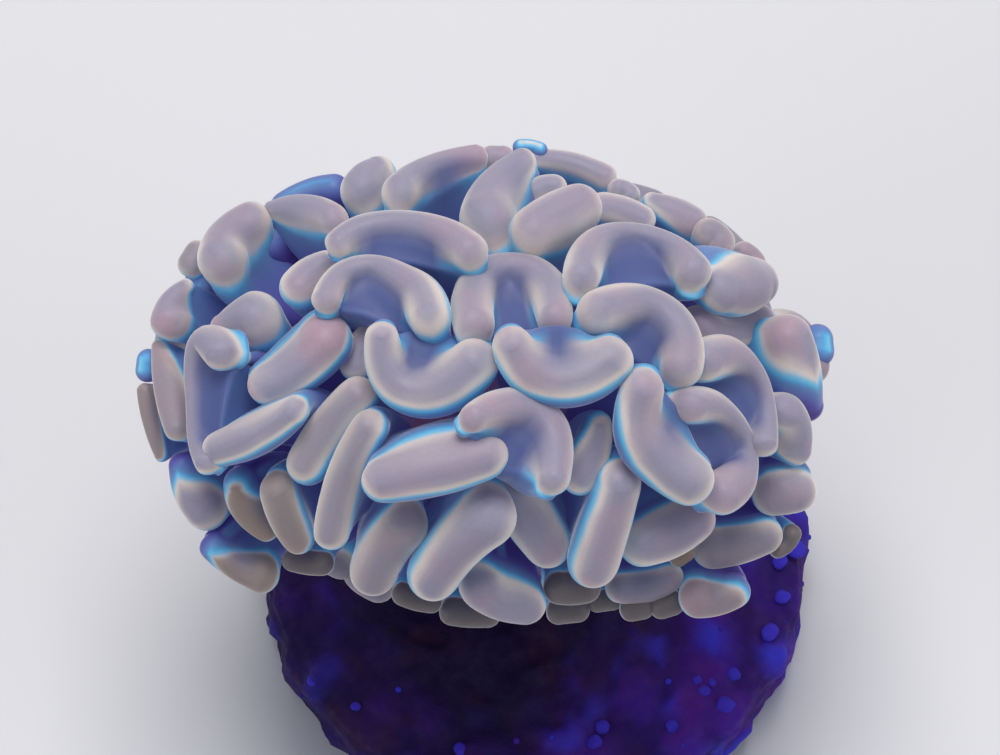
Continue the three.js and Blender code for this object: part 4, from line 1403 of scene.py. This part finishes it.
def make_crust_tree():
    """Crust with mounded lobes, raised growing edges and scattered knobs on a disc whose base stays flat."""
    sockets = {
        "Lobe Size": "NodeSocketFloat",
        "Lobe Height": "NodeSocketFloat",
        "Edge Size": "NodeSocketFloat",
        "Edge Height": "NodeSocketFloat",
        "Knobs": "NodeSocketFloat",
        "Knob Least": "NodeSocketFloat",
        "Knob Most": "NodeSocketFloat",
        "Seed": "NodeSocketInt",
        "Material": "NodeSocketMaterial",
    }
    tree, given = new_shape_tree("crusted_disc", sockets)
    place = add_node(tree, "GeometryNodeInputPosition").outputs[0]
    inputs = {"Vector": place, "Scale": STIR_SCALE, "Detail": 2.0}
    stir = add_node(tree, "ShaderNodeTexNoise", inputs).outputs["Color"]
    shove = scaled(tree, vector_node(tree, "SUBTRACT", stir, (0.5, 0.5, 0.5)), STIR_REACH * MM)
    warped = vector_node(tree, "ADD", place, shove)
    scale = math_node(tree, "DIVIDE", 1.0, given["Lobe Size"])
    inputs = {"Vector": warped, "Scale": scale, "Smoothness": LOBE_SOFTNESS}
    cells = add_node(tree, "ShaderNodeTexVoronoi", inputs, feature="SMOOTH_F1")
    lobe = map_range(tree, cells.outputs["Distance"], *LOBE_EDGE)
    inputs = {"Vector": warped, "Scale": math_node(tree, "DIVIDE", 1.0, given["Edge Size"])}
    seams = add_node(tree, "ShaderNodeTexVoronoi", inputs, feature="DISTANCE_TO_EDGE")
    broken = map_range(tree, noise_node(tree, place, BREAK_SCALE, detail=1.0), *EDGE_BREAKS)
    edge = math_node(tree, "MULTIPLY", map_range(tree, seams.outputs["Distance"], *EDGE_SPAN), broken)
    rough = centred(tree, noise_node(tree, place, ROUGH_SCALE, detail=4.0), CRUST_ROUGH * MM)
    mounds = math_node(tree, "MULTIPLY_ADD", lobe, given["Lobe Height"], rough)
    height = math_node(tree, "MULTIPLY_ADD", edge, given["Edge Height"], mounds)
    height = math_node(tree, "MULTIPLY", height, stored_number(tree, "crusted"))
    marked = store_number(tree, store_number(tree, given["Mesh"], "crest", edge), "lobe", lobe)
    crust = push_out(tree, marked, height)
    density = math_node(tree, "MULTIPLY", stored_number(tree, "knobby"), given["Knobs"])
    inputs = {"Mesh": crust, "Density": density, "Seed": given["Seed"]}
    spots = add_node(tree, "GeometryNodeDistributePointsOnFaces", inputs)
    ball = add_node(tree, "GeometryNodeMeshIcoSphere", {"Radius": 1.0, "Subdivisions": KNOB_ROUNDNESS})
    size = add_node(tree, "FunctionNodeRandomValue", {"Seed": given["Seed"]}, data_type="FLOAT")
    tree.links.new(given["Knob Least"], size.inputs[2])
    tree.links.new(given["Knob Most"], size.inputs[3])
    wide = size.outputs[1]
    high = math_node(tree, "MULTIPLY", wide, KNOB_HEIGHT)
    flat = add_node(tree, "ShaderNodeCombineXYZ", {"X": wide, "Y": wide, "Z": high})
    inputs = {
        "Points": spots.outputs["Points"],
        "Instance": ball.outputs["Mesh"],
        "Rotation": spots.outputs["Rotation"],
        "Scale": flat.outputs[0],
    }
    knobs = add_node(tree, "GeometryNodeInstanceOnPoints", inputs).outputs[0]
    knobs = add_node(tree, "GeometryNodeRealizeInstances", {"Geometry": knobs}).outputs[0]
    tone = noise_node(tree, place, KNOB_TONE_SCALE, detail=1.0)
    blue = map_range(tree, tone, *KNOB_TONE_EDGE, *KNOB_TONE)
    for layer, value in (("crest", blue), ("lobe", KNOB_LOBE), ("painted_light", 1.0)):
        knobs = store_number(tree, knobs, layer, value)
    both = add_node(tree, "GeometryNodeJoinGeometry")
    tree.links.new(crust, both.inputs[0])
    tree.links.new(knobs, both.inputs[0])
    close_shape_tree(tree, both.outputs[0], given["Material"])
    return tree


def disc_rings():
    """Radius and height of each ring, from the middle of the underside to the middle of the top."""
    rings = list(DISC_BASE)
    last = DISC_FOOT
    for radius, height, steps in DISC_PROFILE:
        for step in range(1, steps + 1):
            share = step / steps
            rings.append((last[0] + (radius - last[0]) * share, last[1] + (height - last[1]) * share))
        last = (radius, height)
    return rings


def make_disc(material):
    """The round disc under its crust."""
    profile = disc_rings()
    rings = [oval_ring(Vector((0, 0, height)), (radius, radius), DISC_SIDES) for radius, height in profile]
    shape = bmesh.new()
    skin_over_rings(shape, Vector((0, 0, 0)), rings)
    mesh = mesh_of(shape, "plug_disc_crust")
    points = get_points(mesh) / MM
    crusted = np.clip((points[:, 2] - CRUST_FOOT) / CRUST_RISE, 0, 1)
    across = np.hypot(points[:, 0], points[:, 1])
    # Painted light: lit towards one side, a little at the back and around the rim, in painted shade
    # elsewhere
    facing = points[:, :2] @ np.array(PAINTED_LIT_SIDE)
    painted_light = np.clip((facing - PAINTED_LIT_START) / PAINTED_LIT_WIDTH, 0, 1)
    painted_light = np.maximum(painted_light, np.clip(points[:, 1] / PAINTED_LIT_BACK_WIDTH, 0, PAINTED_LIT_BACK_MOST))
    painted_light = np.maximum(painted_light, np.clip((across - PAINTED_LIT_RIM_START) / PAINTED_LIT_RIM_WIDTH, 0, PAINTED_LIT_RIM_MOST))
    knobby = crusted * painted_light * np.clip((across - KNOB_START) / KNOB_WIDTH, KNOB_LEAST, 1)
    for layer, values in (("crusted", crusted), ("painted_light", painted_light), ("knobby", knobby)):
        set_floats(mesh, layer, values)
    piece = new_piece("plug_disc_crust", mesh)
    area = math.pi * (DISC_RADIUS * MM) ** 2
    values = {
        "Lobe Size": LOBE_SIZE * MM,
        "Lobe Height": LOBE_HEIGHT * MM,
        "Edge Size": EDGE_SIZE * MM,
        "Edge Height": EDGE_HEIGHT * MM,
        "Knobs": KNOB_COUNT / area,
        "Knob Least": KNOB_RADIUS[0] * MM,
        "Knob Most": KNOB_RADIUS[1] * MM,
        "Seed": KNOB_SEED,
        "Material": material,
    }
    apply_tree(piece, make_crust_tree(), values)
    settle_piece(piece, "plug_disc")
    make_large_knobs(material)


def on_disc(across, down):
    """A place measured in the view, brought down onto the top of the disc, and the size of a step there."""
    depth = 0.0
    for _ in range(SIGHT_PASSES):
        step = (1 - depth / VIEW_DISTANCE) / STEPS_IN_MM
        flat = VIEW_RIGHT * (across - VIEW_MIDDLE[0]) * step + VIEW_UP * (VIEW_MIDDLE[1] - down) * step
        depth = (DISC_TOP - VIEW_AIM.z - flat.z) / VIEW_TOWARD.z
    return VIEW_AIM + flat + VIEW_TOWARD * depth, step


def make_large_knobs(material):
    """The larger blue knobs of the crust, as one piece."""
    shape = bmesh.new()
    for across, down, size in LARGE_KNOBS:
        place, step = on_disc(across, down)
        radius = size * step * KNOB_SPREAD
        ball = bmesh.ops.create_icosphere(shape, subdivisions=LARGE_KNOB_ROUNDNESS, radius=1)
        for point in ball["verts"]:
            lump = 1 + KNOB_LUMPS * noise.noise(point.co * KNOB_LUMP_PITCH + place)
            point.co = (point.co * Vector((1, 1, KNOB_FLATNESS)) * lump * radius + place) * MM
    piece = new_piece("disc_knobs", mesh_of(shape, "disc_knobs"))
    piece.data.shade_smooth()
    piece.data.materials.append(material)
    for layer, value in (("crest", KNOB_BLUE), ("lobe", 1.0), ("painted_light", 1.0)):
        set_floats(piece.data, layer, [value] * len(piece.data.vertices))
    settle_piece(piece)


# Stage, in metres and watts
FLOOR_HALF = 1.5
FLOOR_COLOUR = (0.72, 0.72, 0.73, 1)
FLOOR_SCALE = 3.0
FLOOR_TONE = (0.98, 1.02)
FLOOR_ROUGHNESS = 0.9


def make_floor():
    """A plain pale floor."""
    material, tree, shader = new_material("pale_floor")
    tone = map_range(tree, noise_node(tree, object_place(tree), FLOOR_SCALE), *NOISE_SPAN, *FLOOR_TONE)
    colour = add_node(tree, "ShaderNodeHueSaturation", {"Value": tone, "Color": FLOOR_COLOUR}).outputs[0]
    tree.links.new(colour, shader.inputs["Base Color"])
    shader.inputs["Roughness"].default_value = FLOOR_ROUGHNESS
    signs = [(-1, -1), (1, -1), (1, 1), (-1, 1)]
    corners = [(right * FLOOR_HALF, back * FLOOR_HALF, 0) for right, back in signs]
    mesh = bpy.data.meshes.new("floor")
    mesh.from_pydata(corners, [], [(0, 1, 2, 3)])
    mesh.materials.append(material)
    floor = new_piece("floor", mesh)


LIGHTS = [
    {
        "name": "overhead",
        "at": (-0.02, 0.16, 0.60),
        "size": 0.30,
        "power": 2.7,
        "colour": (1.0, 0.97, 0.95),
    },
    {
        "name": "left_fill",
        "at": (-0.55, -0.30, 0.35),
        "size": 0.50,
        "power": 1.2,
        "colour": (0.90, 0.95, 1.0),
    },
    {
        "name": "right_fill",
        "at": (0.55, -0.10, 0.30),
        "size": 0.50,
        "power": 1.0,
        "colour": (0.92, 0.96, 1.0),
    },
    {
        "name": "back_fill",
        "at": (0.10, 0.60, 0.35),
        "size": 0.50,
        "power": 0.8,
        "colour": (1.0, 0.96, 0.92),
    },
]
LIGHT_TARGET = Vector((0, 0, 0.02))
WORLD_COLOUR = (0.76, 0.82, 1.0, 1)
WORLD_STRENGTH = 0.24


def make_lights():
    """Soft studio light from above with weak fills around."""
    for row in LIGHTS:
        light = bpy.data.lights.new(row["name"], "AREA")
        light.energy = row["power"]
        light.size = row["size"]
        light.color = row["colour"]
        lamp = bpy.data.objects.new(row["name"], light)
        lamp.location = row["at"]
        lamp.rotation_euler = (lamp.location - LIGHT_TARGET).to_track_quat("Z", "Y").to_euler()
        bpy.context.scene.collection.objects.link(lamp)
    world = bpy.data.worlds.new("studio")
    world.use_nodes = True
    sky = world.node_tree.nodes["Background"]
    sky.inputs["Color"].default_value = WORLD_COLOUR
    sky.inputs["Strength"].default_value = WORLD_STRENGTH
    bpy.context.scene.world = world


def make_camera():
    """Camera at the photograph's angle."""
    data = bpy.data.cameras.new("camera")
    data.lens = VIEW_LENS
    data.sensor_width = VIEW_SENSOR
    data.clip_start = VIEW_NEAR * MM
    camera = bpy.data.objects.new("camera", data)
    camera.location = (VIEW_AIM + VIEW_TOWARD * VIEW_DISTANCE) * MM
    camera.rotation_euler = VIEW_TOWARD.to_track_quat("Z", "Y").to_euler()
    bpy.context.scene.collection.objects.link(camera)
    bpy.context.scene.camera = camera


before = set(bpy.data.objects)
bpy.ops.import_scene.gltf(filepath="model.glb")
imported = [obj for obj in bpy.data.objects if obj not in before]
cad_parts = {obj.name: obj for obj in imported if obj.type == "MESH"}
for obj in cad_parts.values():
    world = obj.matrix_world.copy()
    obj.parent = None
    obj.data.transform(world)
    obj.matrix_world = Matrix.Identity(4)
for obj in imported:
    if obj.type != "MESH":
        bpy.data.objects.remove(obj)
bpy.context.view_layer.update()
bpy.context.scene.view_settings.view_transform = "Standard"

make_camera()
make_lights()
make_floor()

tentacle_flesh = make_flesh()
skin_tree = make_skin_tree()
make_tentacles(skin_tree, tentacle_flesh)
small = [small_tip(row) for row in SMALL_TIPS]
small += [small_tip({**row, **BROWN_AND_SHADE_TINTS}) for row in BROWN_TIPS]
make_small_tentacles("small_tentacles", small, SKIN_LEVEL, skin_tree, tentacle_flesh)
hidden_draw = random.Random(HIDDEN_SEED)
hidden = [hidden_tip(row, index, hidden_draw) for row in HIDDEN_ROWS for index in range(row["count"])]
make_small_tentacles("under_tentacles", hidden, HIDDEN_SKIN_LEVEL, skin_tree, tentacle_flesh)
make_polyp(make_polyp_flesh())
make_stem(make_stone())
make_disc(make_crust())
